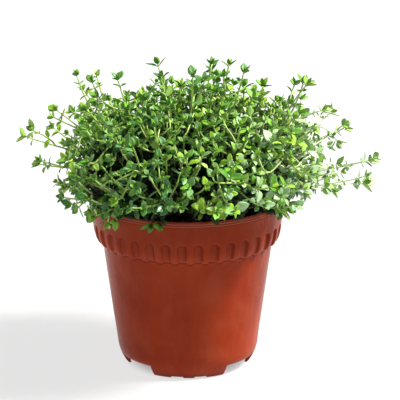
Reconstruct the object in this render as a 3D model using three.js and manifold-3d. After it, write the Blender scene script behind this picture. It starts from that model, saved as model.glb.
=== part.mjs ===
// Thyme growing in a 12 cm plastic nursery pot.
// Millimetres, +Z up. The feet of the pot stand on z = 0. The pot's own axis is
// POT_X to the side of the origin, because the plant leans out further on one
// side than on the other and the origin is under the middle of the whole thing.

import * as THREE from 'three';
import { mergeVertices } from 'three/addons/utils/BufferGeometryUtils.js';
import Module from 'manifold-3d';

const wasm = await Module();
wasm.setup();

// ---------------------------------------------------------------- dimensions
const POT_X = -7.8;            // the pot's axis
const POT_SEGMENTS = 60;       // facets around the pot
const RIM_R = 60;              // outside of the rim lip
const RIM_Z = 107;             // top of the rim
const FLOOR_UNDER_Z = 7.4;     // underside of the floor
const FLOOR_TOP_Z = 8.6;       // inside of the floor
const FOOT_IN_R = 35.6;        // foot ring, inside edge of its flat underside
const FOOT_OUT_R = 38.0;       // foot ring, outside edge of its flat underside

// Drain notches between the three feet, from and to in degrees around the pot,
// 0 at the front and positive towards +X, and the middles of the feet.
const NOTCHES = [[35.4, 79.5], [157, 209], [282, 327]];
const FEET = [1.2, 121, 245];
const NOTCH_H = 6.8;           // height of the drain notches between the feet
const FOOT_RELIEF_FROM = 5.2;  // shallow reliefs in each foot's underside, degrees
const FOOT_RELIEF_TO = 17.1;
const FOOT_RELIEF_H = 1.0;

const FLUTE_COUNT = 36;        // arched flutes around the collar
const FLUTE_W = 5.2;
const FLUTE_TURN = -3.3;       // degrees, the flute nearest the front
const FLUTE_D = 1.5;           // depth into the wall
const FLUTE_TOP_Z = 92.2;
const FLUTE_MID_R = 58.0;      // radius of the collar at FLUTE_MID_Z
const FLUTE_MID_Z = 85.5;
const FLUTE_LEAN = 12;         // degrees that the collar leans outward there

const DRAIN_COUNT = 6;         // drain holes through the floor
const DRAIN_R = 4;
const DRAIN_RING_R = 23;

const GAP = 0.3;               // clearance between pieces that touch
const SOIL_TOP_Z = 94.5;       // potting mix, at the pot's axis
const SOIL_DROP = 1.5;         // and how far it falls away towards the wall
const SOIL_R = 55.5;
const SOIL_SEGMENTS = 36;

const STEM_R = 0.78;           // thyme has square stems: half the diagonal
const SHOOT_R = 0.52;
const STEM_STEPS = 5;
const SHOOT_STEPS = 2;
const LEAF_L = 7.4;            // leaf, from its place in the stem to its tip
const LEAF_W = 4.6;
const LEAF_T = 1.0;
const LEAF_ROOT = 0.35;        // how far the leaf's base reaches past the stem's middle

// Outside and inside of the pot's wall, [radius, height], from the floor's
// underside out round the foot ring, up the wall, over the rim and down inside.
const POT_PROFILE = [
  [0, FLOOR_UNDER_Z], [39.6, FLOOR_UNDER_Z], [FOOT_IN_R + 0.9, 1.2], [FOOT_IN_R, 0],
  [FOOT_OUT_R, 0], [39.6, 1.8], [42.0, 6.2], [43.6, 11.0], [44.4, 17.0],
  [51.9, 70.9], [52.6, 76.8], [54.2, 79.6], [56.4, 80.8], [58.3, 85.6], [58.9, 90.0], [59.3, 103.8],
  [RIM_R, 104.1], [RIM_R, 104.8], [59.5, 106.4], [59.0, RIM_Z], [58.3, RIM_Z],
  [57.6, 103.5], [54.9, 84.5], [51.0, 75.6],
  [43.1, 17.4], [42.2, 12.0], [40.6, FLOOR_TOP_Z], [0, FLOOR_TOP_Z],
];

const SOIL_PROFILE = [
  [0, 8.9], [40.2, 8.9], [42.7, 17.5], [50.6, 75.7],
  [54.4, 84.6],
];

// Main stem of each sprig, numbered around the plant from its left side through
// the back, the right side and the front: the rooting point [x, y], then the two
// bend points and the tip of a cubic curve, [x, y, z] each.
const STEMS = [
  [-29.8, 9.3, -34.4, 8.8, 130.6, -65.9, 3.4, 146.7, -75.3, 4, 180.5],
  [-37.6, -1.5, -49.1, -7.8, 119.6, -65.1, 7.8, 106.6, -89, 12, 112.4],
  [-46.5, 21.1, -52, 21.7, 137.4, -69.1, 18.8, 140.6, -92.3, 26, 150.9],
  [-17.6, 2.1, -18.3, 2.5, 133.2, -17, 3.1, 154.5, -25.4, 6, 186.4],
  [-39.2, 8.4, -41.7, 11, 127.3, -57, 29.7, 142.9, -64.2, 34, 172.8],
  [-37.7, 24.1, -42.2, 27.1, 123.4, -61.1, 38.5, 115.2, -75.5, 48.8, 122.6],
  [-28.5, 21.8, -31.4, 27.7, 136.1, -38.9, 49.6, 137.2, -52.5, 71.1, 147.9],
  [-13.8, 34.9, -16, 43.6, 123.5, -41.3, 66, 113.6, -52.4, 85.2, 119.2],
  [-23.7, 34.6, -26.3, 41.6, 122.5, -22, 75.1, 103.3, -23.1, 99, 112.2],
  [-4.1, 25.7, -4.9, 29.4, 122.4, -11.7, 54.6, 134.5, -12.3, 62, 160.9],
  [-16.8, 29, -16.3, 36.5, 128.8, -11.1, 66.8, 123, -12.3, 91.1, 133.2],
  [0.7, 33.9, 1.9, 38.8, 117, 11.4, 76.2, 122.6, 13.1, 83.2, 148.4],
  [7.5, 34.4, 9.2, 41, 117.8, 15.4, 75.6, 112.3, 21.7, 93.4, 113.9],
  [1.4, 18.2, 3, 20.4, 129.8, 12.9, 32.8, 147.9, 17.5, 40, 178.5],
  [8.4, 24.6, 12.7, 29.6, 134.2, 29.1, 47.4, 133.7, 44.2, 66.9, 144.1],
  [26.5, 20.7, 30, 23.7, 120.4, 44.9, 54.7, 109.3, 62.4, 70.3, 115.5],
  [-0.5, 8.9, 0.2, 9.4, 132.7, 0.3, 7.9, 153.6, 6.7, 14, 185.1],
  [17.1, 21.4, 23.5, 24.8, 129.1, 50, 36.9, 123.9, 70.2, 49.7, 133.9],
  [29.8, 7.5, 33.1, 10.9, 120.1, 56.9, 37.7, 128.9, 63.5, 41.6, 156.1],
  [13, 10.9, 15.5, 12, 125.9, 31.5, 18.7, 141.6, 38.5, 22, 169.2],
  [21.7, 3.8, 30.5, 8.3, 119.1, 66, 14.3, 107, 81.8, 22, 106.4],
  [23.4, 14.4, 31.4, 14.9, 135, 62.8, 12.9, 134, 90.4, 18, 145.8],
  [23.2, -3.7, 27.2, -3.1, 128.6, 53.9, 1.7, 144.4, 62.7, 2, 175.9],
  [32.5, -2, 41.5, -2.2, 128.1, 79.5, -3, 120.5, 107.4, -4, 132.3],
  [30.2, -20.5, 38.4, -22.3, 122, 74.5, -20.1, 116.4, 101, -30, 127.9],
  [24, -24.4, 29.9, -25.1, 146.6, 45.5, -19.6, 156.7, 73.7, -30, 169.3],
  [8.3, -1.7, 10.1, -3.1, 133.5, 17.7, -12, 154.1, 26, -16, 187.1],
  [23.9, -18.8, 34.3, -19.3, 121.7, 52.4, -27.1, 112.7, 49.4, -30, 105],
  [30.2, -14, 36.9, -13.3, 143.4, 42, -42.9, 137, 64.2, -60, 152.2],
  [8.1, -32.5, 13.9, -37.7, 123.1, 41.4, -57.7, 112.2, 56.6, -75.6, 122],
  [1.7, -25.8, 3.9, -28.9, 123.7, 19.9, -49.7, 136.7, 23.6, -56.4, 164.2],
  [-1.6, -34.6, 1.6, -40.4, 131.5, 16.7, -61.2, 128.9, 25.6, -83.1, 138.9],
  [-7.6, -47, -3.6, -52.7, 126.9, 6.5, -62.6, 123.5, 8.2, -70, 116],
  [-11, -17.7, -10.3, -19.3, 134.2, -5.3, -24.7, 155.6, -4.4, -34, 188.9],
  [-21, -35.9, -19.6, -40.9, 118.5, -7.8, -77.6, 125.3, -7.8, -85.1, 152.1],
  [-18.7, -46.3, -21.9, -50.9, 131.8, -17.3, -75.4, 119, -20.6, -99, 128.4],
  [-7.6, -34.7, -14.5, -36.2, 124.4, -25.3, -54.3, 117.7, -28.9, -64, 107.4],
  [-7.8, -26.6, -9.7, -29.7, 123.7, -24.8, -50.3, 136.8, -27.2, -57.5, 164],
  [-30.2, -34.1, -31.6, -39.7, 135, -32.3, -58.9, 136.1, -41.2, -80.5, 146],
  [-18.2, -27.7, -18.3, -37.1, 119, -42.5, -48.6, 114.6, -54.9, -68.8, 127.4],
  [-33.2, -23.4, -37.2, -24.9, 120.9, -54.6, -46.7, 118.2, -55.9, -45, 103.1],
  [-27.3, -13.3, -31.9, -17.9, 141, -45.3, -33.5, 145.9, -66, -52, 157.5],
  [-38, -28.2, -43.3, -31.1, 122.4, -67, -41.4, 112.8, -82.6, -52.3, 120.8],
  [-27.5, -4.1, -29.6, -5.9, 132.2, -41.2, -17.7, 151.6, -49.3, -22, 184.2],
  [-44.9, -8.2, -48.9, -10.1, 145.3, -52.4, -15.3, 155.2, -77.9, -24, 166.5],
  [-40, -19, -48.7, -19.7, 121.7, -67.6, -19.6, 113.1, -75.1, -22, 105.3],
  [-36, -10.4, -43.4, -12.3, 130.3, -73, -19, 125.7, -97.1, -26, 136.3],
  [-48.6, 8.1, -55.7, 6.4, 135.4, -81.2, -4.4, 135.6, -107.9, -6, 146.8],
];

// Side shoots: [sprig, fraction along its stem, tip x, y, z].
const SHOOTS = [
  [0, 0.536, -65.6, 18.9, 160.2], [0, 0.734, -66.2, -5.7, 181.2], [1, 0.515, -85.6, -2.8, 114.8],
  [1, 0.74, -82.7, 19, 106.7], [2, 0.519, -80.1, 35.8, 150.9], [2, 0.744, -89.7, 17.2, 157.6],
  [3, 0.539, -33.9, 10.1, 167.1], [3, 0.751, -23.9, -8, 184.6], [4, 0.523, -50.9, 24.9, 160.6],
  [4, 0.726, -73.2, 25.2, 169.1], [5, 0.517, -77.7, 38.5, 114.1], [5, 0.663, -75.5, 42.8, 134.8],
  [6, 0.539, -47.8, 51, 156.5], [6, 0.768, -40.1, 74.5, 152], [7, 0.537, -37.8, 80.7, 128.8],
  [7, 0.767, -60.3, 77.3, 115.6], [8, 0.497, -36.5, 82.6, 107.7], [8, 0.772, -14.1, 96.4, 105.7],
  [9, 0.539, -17.5, 66.5, 140.7], [9, 0.707, 1.4, 61.6, 160.2], [10, 0.536, -22.1, 79.7, 123.4],
  [10, 0.776, -15.9, 87.1, 142.6], [11, 0.539, 3.6, 85.2, 127.2], [11, 0.777, 23.9, 80.8, 145.6],
  [12, 0.524, 27.7, 81.5, 110.6], [12, 0.778, 13.5, 94.6, 110.6], [13, 0.529, 20.7, 45.6, 155.6],
  [13, 0.756, 7.4, 35.7, 179.5], [14, 0.534, 34.3, 49, 154.2], [14, 0.761, 55.2, 58.3, 138.8],
  [15, 0.513, 63.2, 52.9, 114.8], [15, 0.772, 53.4, 73.7, 110.8], [16, 0.538, 10.2, 20.6, 167.3],
  [16, 0.733, 9.6, -0.9, 183.5], [17, 0.517, 64.6, 38.4, 121.2], [17, 0.773, 69.8, 43.6, 137.6],
  [18, 0.532, 66.4, 28.6, 142.6], [18, 0.702, 56.8, 41.4, 157.5], [19, 0.54, 25.8, 29.9, 158.2],
  [19, 0.722, 32.5, 10, 171.1], [20, 0.397, 61.6, 15.8, 122], [20, 0.703, 82.6, 10, 107.6],
  [21, 0.54, 69.8, 2.9, 148.2], [21, 0.748, 82.1, 27.2, 153.5], [22, 0.537, 49, -8.9, 162.1],
  [22, 0.773, 58.6, 16.2, 174.2], [23, 0.54, 88.2, 8, 119.7], [23, 0.763, 104, -12.5, 132.9],
  [24, 0.539, 79.9, -35.3, 129.2], [24, 0.734, 99.8, -18.3, 120.3], [25, 0.533, 55.9, -37.5, 165.8],
  [25, 0.731, 64.4, -25.2, 183.7], [26, 0.533, 27.7, -2.2, 167.5], [26, 0.741, 14.2, -14.4, 186.7],
  [27, 0.535, 52.9, -44, 109.8], [28, 0.519, 58.7, -41.1, 151.6], [28, 0.748, 53.8, -59.7, 163],
  [29, 0.538, 39.3, -74.7, 125.8], [29, 0.733, 61.7, -64.8, 129.5], [30, 0.532, 12.5, -47.1, 156.7],
  [30, 0.766, 21.5, -68.4, 155.7], [31, 0.537, 11.5, -73.2, 146.4], [31, 0.774, 33.6, -76, 142.8],
  [32, 0.56, 2.9, -82.3, 120.4], [33, 0.535, -15.9, -19.6, 171.6], [33, 0.776, 2.6, -26.8, 186.9],
  [34, 0.537, -22, -80.5, 141.5], [34, 0.765, -6.2, -96.4, 139.3], [35, 0.538, -32.8, -90, 124.6],
  [35, 0.699, -20.2, -94.9, 138.5], [36, 0.68, -23.3, -67.5, 108], [37, 0.537, -15.5, -47.7, 158.3],
  [37, 0.771, -36.7, -62.5, 156.4], [38, 0.54, -48, -73, 140.7], [38, 0.76, -39.9, -74.8, 157.8],
  [39, 0.531, -43.4, -67.6, 120.1], [39, 0.778, -62.7, -60.9, 118.8], [40, 0.664, -50.7, -54.6, 107.2],
  [41, 0.518, -56.1, -29.4, 161.1], [41, 0.757, -57.9, -55.1, 163], [42, 0.537, -82.2, -37.5, 122.4],
  [42, 0.775, -77.1, -60.3, 118.7], [43, 0.521, -44.4, -8.6, 165.3], [43, 0.778, -61.6, -25.6, 176.5],
  [44, 0.52, -72, -9.9, 164.4], [44, 0.746, -68.7, -35.7, 171.2], [45, 0.667, -81.8, -21.6, 118],
  [46, 0.539, -79.9, -18.3, 145.9], [46, 0.762, -99, -15.6, 131.4], [47, 0.535, -91.5, 6.8, 148.9],
  [47, 0.771, -102.3, -15.9, 153.1],
];

// Leaf pairs on a main stem: [fraction along it, lean towards the tip in degrees, size].
const STEM_LEAVES = [[0.6, 18, 1.0], [0.8, 26, 1.0], [0.985, 40, 0.9]];
const SHOOT_LEAVES = [[0.97, 38, 0.85]];

// ---------------------------------------------------------------- materials
const plastic = () => new THREE.MeshStandardMaterial({ color: 0x93372a, roughness: 0.42, metalness: 0 });
const mix = () => new THREE.MeshStandardMaterial({ color: 0x33241b, roughness: 0.95, metalness: 0 });
const herb = (i) => new THREE.MeshStandardMaterial({
  color: [0x4f8f2c, 0x6aa535, 0x3f7d2a, 0x86b53f][i % 4], roughness: 0.5, metalness: 0,
});

// ---------------------------------------------------------------- solids
const rad = (deg) => (deg * Math.PI) / 180;

// A closed faceted surface as a solid.
function solid(geometry) {
  const g = geometry.index ? geometry.toNonIndexed() : geometry.clone();
  for (const name of Object.keys(g.attributes)) if (name !== 'position') g.deleteAttribute(name);
  g.deleteAttribute('normal');
  const m = mergeVertices(g, 1e-4);
  const index = Array.from(m.index.array);
  const kept = [];
  for (let i = 0; i < index.length; i += 3) {
    const [a, b, c] = [index[i], index[i + 1], index[i + 2]];
    if (a !== b && b !== c && a !== c) kept.push(a, b, c);
  }
  return new wasm.Manifold(new wasm.Mesh({
    numProp: 3,
    vertProperties: Float32Array.from(m.attributes.position.array),
    triVerts: Uint32Array.from(kept),
  }));
}

// A solid back as a flat-shaded geometry.
function geometryOf(s) {
  const mesh = s.getMesh();
  const pos = new Float32Array(mesh.numVert * 3);
  for (let i = 0; i < mesh.numVert; i++) {
    for (let k = 0; k < 3; k++) pos[3 * i + k] = mesh.vertProperties[mesh.numProp * i + k];
  }
  const g = new THREE.BufferGeometry();
  g.setAttribute('position', new THREE.BufferAttribute(pos, 3));
  g.setIndex(Array.from(mesh.triVerts));
  g.computeVertexNormals();
  return g;
}

function lathe(profile, segments) {
  const g = new THREE.LatheGeometry(profile.map(([r, z]) => new THREE.Vector2(r, z)), segments);
  g.rotateX(Math.PI / 2);
  g.translate(POT_X, 0, 0);
  return solid(g);
}

// Height of the potting mix at a point.
function soilZ(x, y) {
  const r = Math.hypot(x - POT_X, y) / SOIL_R;
  return SOIL_TOP_Z - SOIL_DROP * r * r;
}

// ---------------------------------------------------------------- pot
// Angle 0 is the pot's front, the -Y side.
function aroundPot(geometry, deg) {
  geometry.rotateZ(rad(deg));
  geometry.translate(POT_X, 0, 0);
  return geometry;
}

function wedge(fromDeg, toDeg, r0, r1, z0, z1) {
  const s = new THREE.Shape();
  const at = (r, d) => [r * Math.sin(rad(d)), -r * Math.cos(rad(d))];
  const mid = (fromDeg + toDeg) / 2;
  s.moveTo(...at(r0, fromDeg));
  s.lineTo(...at(r1, fromDeg));
  s.lineTo(...at(r1 / Math.cos(rad((toDeg - fromDeg) / 2)), mid));
  s.lineTo(...at(r1, toDeg));
  s.lineTo(...at(r0, toDeg));
  s.closePath();
  const g = new THREE.ExtrudeGeometry(s, { depth: z1 - z0, bevelEnabled: false });
  g.translate(0, 0, z0);
  return g;
}

function buildPot() {
  let pot = lathe(POT_PROFILE, POT_SEGMENTS);
  const cuts = [];
  for (const [from, to] of NOTCHES) {
    cuts.push(aroundPot(wedge(-(to - from) / 2, (to - from) / 2, 30, 62, -4, NOTCH_H), (from + to) / 2));
  }
  for (const middle of FEET) {
    for (const side of [-1, 1]) {
      const [a, b] = [FOOT_RELIEF_FROM * side, FOOT_RELIEF_TO * side];
      cuts.push(aroundPot(wedge(Math.min(a, b), Math.max(a, b), 32, 46, -4, FOOT_RELIEF_H), middle));
    }
  }
  for (let i = 0; i < DRAIN_COUNT; i++) {
    const g = new THREE.CylinderGeometry(DRAIN_R, DRAIN_R, 6, 12);
    g.rotateX(Math.PI / 2);
    g.translate(0, -DRAIN_RING_R, 7);
    cuts.push(aroundPot(g, (i + 0.5) * (360 / DRAIN_COUNT)));
  }
  // one flute: an arch, open at the bottom, cut FLUTE_D deep into the leaning collar
  const arch = new THREE.Shape();
  const w = FLUTE_W / 2;
  const spring = FLUTE_TOP_Z - FLUTE_MID_Z - w;
  arch.moveTo(-w, -9);
  arch.lineTo(w, -9);
  arch.lineTo(w, spring);
  arch.lineTo(w * 0.68, spring + w * 0.74);
  arch.lineTo(0, spring + w);
  arch.lineTo(-w * 0.68, spring + w * 0.74);
  arch.lineTo(-w, spring);
  arch.closePath();
  for (let i = 0; i < FLUTE_COUNT; i++) {
    const g = new THREE.ExtrudeGeometry(arch, { depth: 5, bevelEnabled: false });
    g.translate(0, 0, -FLUTE_D);
    g.rotateX(Math.PI / 2);           // the arch stands up and is cut in from the front
    g.rotateX(rad(FLUTE_LEAN));
    g.translate(0, -FLUTE_MID_R, FLUTE_MID_Z);
    cuts.push(aroundPot(g, FLUTE_TURN + i * (360 / FLUTE_COUNT)));
  }
  for (const g of cuts) pot = pot.subtract(solid(g));
  return pot;
}

function buildSoil() {
  const profile = SOIL_PROFILE.slice();
  for (const f of [1, 0.7, 0.35, 0]) profile.push([SOIL_R * f, soilZ(POT_X + SOIL_R * f, 0)]);
  return lathe(profile, SOIL_SEGMENTS);
}

// ---------------------------------------------------------------- thyme
const squareSection = (r) => {
  const s = new THREE.Shape();
  s.moveTo(r, 0); s.lineTo(0, r); s.lineTo(-r, 0); s.lineTo(0, -r); s.closePath();
  return s;
};

function stalk(curve, r, steps) {
  return solid(new THREE.ExtrudeGeometry(squareSection(r), { steps, extrudePath: curve, bevelEnabled: false }));
}

function stemCurve(row) {
  const [bx, by, ax, ay, az, cx, cy, cz, tx, ty, tz] = row;
  const lean = new THREE.Vector3(ax - bx, ay - by, az - soilZ(bx, by)).normalize();
  const lift = GAP + STEM_R * Math.hypot(lean.x, lean.y);
  return new THREE.CubicBezierCurve3(
    new THREE.Vector3(bx, by, soilZ(bx, by) + lift), new THREE.Vector3(ax, ay, az),
    new THREE.Vector3(cx, cy, cz), new THREE.Vector3(tx, ty, tz),
  );
}

// The stalks are straight between their steps: the point and direction at a
// fraction of the length, on the stalk as it is built.
function onStalk(curve, steps, u) {
  const p = curve.getSpacedPoints(steps);
  const k = Math.min(Math.floor(u * steps), steps - 1);
  return {
    at: p[k].clone().lerp(p[k + 1], u * steps - k),
    along: p[k + 1].clone().sub(p[k]).normalize(),
  };
}

// A side shoot leaves its stem sideways and bends up beside it.
function shootCurve(stem, [, t, ex, ey, ez]) {
  const { at: from, along } = onStalk(stem, STEM_STEPS, t);
  const end = new THREE.Vector3(ex, ey, ez);
  const v = end.clone().sub(from);
  const a = v.dot(along);
  const side = v.addScaledVector(along, -a);
  const bend = from.clone().addScaledVector(along, 0.25 * a).addScaledVector(side, 0.7);
  return new THREE.QuadraticBezierCurve3(from, bend, end);
}

// One leaf: a flat pointed plate, keeled underneath, with its base inside the stalk.
function leaf(at, dir, face, size, grow = 0) {
  const x = dir.clone().normalize();
  const y = new THREE.Vector3().crossVectors(face, x).normalize();
  const z = new THREE.Vector3().crossVectors(x, y);
  const g = new THREE.SphereGeometry(1, 3, 2);
  g.rotateY(-Math.PI / 2);
  g.rotateZ(-Math.PI / 2);
  g.scale((LEAF_L * size) / 2 + grow, (LEAF_W * size) / 1.73 + grow, (LEAF_T * size) / 1.5 + grow);
  g.applyMatrix4(new THREE.Matrix4().makeBasis(x, y, z));
  const c = at.clone().addScaledVector(x, (LEAF_L * size) / 2 - LEAF_ROOT);
  g.translate(c.x, c.y, c.z);
  return solid(g);
}

const boxesMeet = (a, b) => {
  for (let k = 0; k < 3; k++) if (a.min[k] > b.max[k] || b.min[k] > a.max[k]) return false;
  return true;
};

function buildThyme(obstacles) {
  const sprigs = STEMS.map((row) => ({ curve: stemCurve(row), shoots: [], parts: [] }));
  for (const s of sprigs) s.parts.push(stalk(s.curve, STEM_R, STEM_STEPS));
  for (const row of SHOOTS) {
    const s = sprigs[row[0]];
    const c = shootCurve(s.curve, row);
    s.shoots.push(c);
    s.parts.push(stalk(c, SHOOT_R, SHOOT_STEPS));
  }
  for (const s of sprigs) s.boxes = s.parts.map((p) => p.boundingBox());
  const fixed = obstacles.map((p) => [p, p.boundingBox()]);

  // A leaf that would grow into a neighbour, the soil or the pot isn't there.
  const clear = (own, probe) => {
    const box = probe.boundingBox();
    for (const [p, b] of fixed) if (boxesMeet(box, b) && probe.intersect(p).volume() > 0) return false;
    for (const s of sprigs) {
      if (s === own) continue;
      for (let i = 0; i < s.parts.length; i++) {
        if (boxesMeet(box, s.boxes[i]) && probe.intersect(s.parts[i]).volume() > 0) return false;
      }
    }
    return true;
  };
  const addPair = (s, curve, steps, t, lean, size, turn) => {
    const { at, along } = onStalk(curve, steps, t);
    const ref = new THREE.Vector3(0, 0, 1).cross(along);
    if (ref.length() < 0.05) ref.set(1, 0, 0);
    ref.normalize().applyAxisAngle(along, turn);
    for (const sign of [1, -1]) {
      const dir = ref.clone().multiplyScalar(sign * Math.cos(rad(lean))).addScaledVector(along, Math.sin(rad(lean)));
      if (!clear(s, leaf(at, dir, along, size, GAP + 0.1))) continue;
      const p = leaf(at, dir, along, size);
      s.parts.push(p);
      s.boxes.push(p.boundingBox());
    }
  };
  sprigs.forEach((s, i) => {
    STEM_LEAVES.forEach(([t, lean, size], k) => addPair(s, s.curve, STEM_STEPS, t, lean, size, rad(90 * k + 37 * i)));
  });
  sprigs.forEach((s, i) => {
    s.shoots.forEach((c, j) => SHOOT_LEAVES.forEach(([t, lean, size], k) => (
      addPair(s, c, SHOOT_STEPS, t, lean, size, rad(90 * (k + j) + 53 * i)))));
  });
  return sprigs.map((s) => s.parts.reduce((a, b) => a.add(b)));
}

// ---------------------------------------------------------------- assembly
const plant = new THREE.Group();

function place(name, s, material) {
  const m = new THREE.Mesh(geometryOf(s), material);
  m.name = name;
  plant.add(m);
}

const pot = buildPot();
const soil = buildSoil();
place('pot', pot, plastic());
place('soil', soil, mix());
buildThyme([pot, soil]).forEach((s, i) => place(`sprig_${String(i + 1).padStart(2, '0')}`, s, herb(i)));

export default plant;
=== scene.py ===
# Thyme growing in a 12 cm plastic nursery pot: the looks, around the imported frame.
# Lengths below are millimetres until a mesh is made; meshes are metres.
import math
import random

import bmesh
import bpy
import numpy as np
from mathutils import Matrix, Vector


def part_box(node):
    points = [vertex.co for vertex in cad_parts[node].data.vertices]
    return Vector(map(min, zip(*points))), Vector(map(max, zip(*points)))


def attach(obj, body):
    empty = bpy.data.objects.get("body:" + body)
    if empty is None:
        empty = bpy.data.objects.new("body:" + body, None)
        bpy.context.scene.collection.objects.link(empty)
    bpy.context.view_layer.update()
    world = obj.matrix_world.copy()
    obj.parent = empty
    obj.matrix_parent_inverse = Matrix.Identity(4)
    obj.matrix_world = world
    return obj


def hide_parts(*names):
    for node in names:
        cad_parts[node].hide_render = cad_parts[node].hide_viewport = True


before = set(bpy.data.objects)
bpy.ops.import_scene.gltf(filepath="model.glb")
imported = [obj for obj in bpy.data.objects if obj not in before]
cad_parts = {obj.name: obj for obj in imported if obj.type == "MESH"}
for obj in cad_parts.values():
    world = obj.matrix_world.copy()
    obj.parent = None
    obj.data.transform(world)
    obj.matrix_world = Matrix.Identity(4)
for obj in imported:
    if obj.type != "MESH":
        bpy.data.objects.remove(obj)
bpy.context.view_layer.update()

MM = 0.001
POT_X = -7.8
SEED = 4171

# ------------------------------------------------------------------ camera
CAM_AT = (-0.14, -1600.0, 559.0)
CAM_DOWN = 15.87
CAM_LENS = 240.48          # on a 36 mm sensor
CAM_F = CAM_LENS / 36.0 * 400.0

cam_data = bpy.data.cameras.new("camera")
cam_data.sensor_fit = "HORIZONTAL"
cam_data.sensor_width = 36.0
cam_data.lens = CAM_LENS
cam_data.clip_start = 0.05
cam_data.clip_end = 60.0
cam = bpy.data.objects.new("camera", cam_data)
cam.location = [v * MM for v in CAM_AT]
cam.rotation_euler = (math.radians(90.0 - CAM_DOWN), 0.0, 0.0)
bpy.context.scene.collection.objects.link(cam)
bpy.context.scene.camera = cam


def seen_at(p):
    """Where a point (or rows of points) falls in the 400 x 400 view."""
    p = np.asarray(p, float)
    x, y, z = p[..., 0] - CAM_AT[0], p[..., 1] - CAM_AT[1], p[..., 2] - CAM_AT[2]
    c, s = math.cos(math.radians(CAM_DOWN)), math.sin(math.radians(CAM_DOWN))
    depth, up = y * c - z * s, y * s + z * c
    return np.stack([200 + CAM_F * x / depth, 200 - CAM_F * up / depth], -1)


# ------------------------------------------------------------------ small tools
def unit(v):
    v = np.asarray(v, float)
    return v / max(float(np.linalg.norm(v)), 1e-9)


def turned(v, axis, angle):
    """v turned about a unit axis."""
    c, s = math.cos(angle), math.sin(angle)
    return v * c + np.cross(axis, v) * s + axis * float(np.dot(axis, v)) * (1 - c)


def smooth(a, b, x):
    t = np.clip((np.asarray(x, float) - a) / (b - a), 0.0, 1.0)
    return t * t * (3 - 2 * t)


def waves(p, seed, count=5, low=0.02, high=0.09):
    """Smooth repeatable noise: a few sines in random directions, about -1 to 1."""
    g = np.random.default_rng(seed)
    p = np.asarray(p, float)
    out = np.zeros(p.shape[:-1])
    for _ in range(count):
        k = g.normal(size=3)
        k *= g.uniform(low, high) * 2 * math.pi / np.linalg.norm(k)
        out += np.sin(p @ k + g.uniform(0, 6.283))
    return out / math.sqrt(count * 0.5) * 0.6


def make_object(name, verts, faces, material, vectors=None, flat=False, turn=False):
    me = bpy.data.meshes.new(name)
    me.from_pydata((np.asarray(verts) * MM).tolist(), [], [tuple(f) for f in faces])
    if turn:
        # every closed shell's faces are turned to look outwards
        bm = bmesh.new()
        bm.from_mesh(me)
        bmesh.ops.recalc_face_normals(bm, faces=bm.faces)
        bm.to_mesh(me)
        bm.free()
    for key, data in (vectors or {}).items():
        a = me.attributes.new(key, "FLOAT_VECTOR", "POINT")
        a.data.foreach_set("vector", np.ascontiguousarray(data, dtype=np.float32).ravel())
    me.polygons.foreach_set("use_smooth", [not flat] * len(me.polygons))
    me.materials.append(material)
    me.update()
    ob = bpy.data.objects.new(name, me)
    bpy.context.scene.collection.objects.link(ob)
    return ob


# ------------------------------------------------------------------ node helpers
class Nodes:
    def __init__(self, name):
        self.mat = bpy.data.materials.new(name)
        self.mat.use_nodes = True
        self.tree = self.mat.node_tree
        self.bsdf = self.tree.nodes["Principled BSDF"]

    def new(self, kind, **props):
        n = self.tree.nodes.new(kind)
        for k, v in props.items():
            setattr(n, k, v)
        return n

    def link(self, a, b):
        self.tree.links.new(a, b)

    def feed(self, socket, value):
        if isinstance(value, bpy.types.NodeSocket):
            self.link(value, socket)
        else:
            socket.default_value = value

    def coords(self):
        return self.new("ShaderNodeTexCoord").outputs["Object"]

    def attribute(self, name):
        n = self.new("ShaderNodeAttribute", attribute_type="GEOMETRY", attribute_name=name)
        s = self.new("ShaderNodeSeparateXYZ")
        self.link(n.outputs["Vector"], s.inputs[0])
        return s.outputs[0], s.outputs[1], s.outputs[2]

    def math(self, op, a, b=0.0, c=0.0, clamp=False):
        n = self.new("ShaderNodeMath", operation=op, use_clamp=clamp)
        for i, v in enumerate((a, b, c)):
            self.feed(n.inputs[i], v)
        return n.outputs[0]

    def scaled(self, vector, by):
        n = self.new("ShaderNodeVectorMath", operation="MULTIPLY")
        self.feed(n.inputs[0], vector)
        n.inputs[1].default_value = by
        return n.outputs[0]

    def noise(self, vector, scale, detail=3.0, rough=0.5, distort=0.0):
        n = self.new("ShaderNodeTexNoise")
        self.link(vector, n.inputs["Vector"])
        n.inputs["Scale"].default_value = scale
        n.inputs["Detail"].default_value = detail
        n.inputs["Roughness"].default_value = rough
        n.inputs["Distortion"].default_value = distort
        return n.outputs[0]

    def span(self, value, a, b, c, d, mode="LINEAR"):
        n = self.new("ShaderNodeMapRange", interpolation_type=mode)
        self.feed(n.inputs["Value"], value)
        for key, v in (("From Min", a), ("From Max", b), ("To Min", c), ("To Max", d)):
            n.inputs[key].default_value = v
        return n.outputs[0]

    def mix(self, factor, a, b, how="MIX"):
        n = self.new("ShaderNodeMix", data_type="RGBA", blend_type=how)
        self.feed(n.inputs[0], factor)
        for i, v in ((6, a), (7, b)):
            self.feed(n.inputs[i], v if isinstance(v, bpy.types.NodeSocket) else (*v, 1.0))
        return n.outputs[2]

    def ramp(self, factor, *stops):
        n = self.new("ShaderNodeValToRGB")
        self.feed(n.inputs[0], factor)
        e = n.color_ramp.elements
        e[0].position, e[0].color = stops[0][0], (*stops[0][1], 1.0)
        e[1].position, e[1].color = stops[-1][0], (*stops[-1][1], 1.0)
        for pos, col in stops[1:-1]:
            k = e.new(pos)
            k.color = (*col, 1.0)
        return n.outputs[0]

    def bump(self, height, distance, strength=1.0, normal=None):
        n = self.new("ShaderNodeBump")
        n.inputs["Strength"].default_value = strength
        n.inputs["Distance"].default_value = distance
        self.link(height, n.inputs["Height"])
        if normal is not None:
            self.link(normal, n.inputs["Normal"])
        return n.outputs[0]


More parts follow.
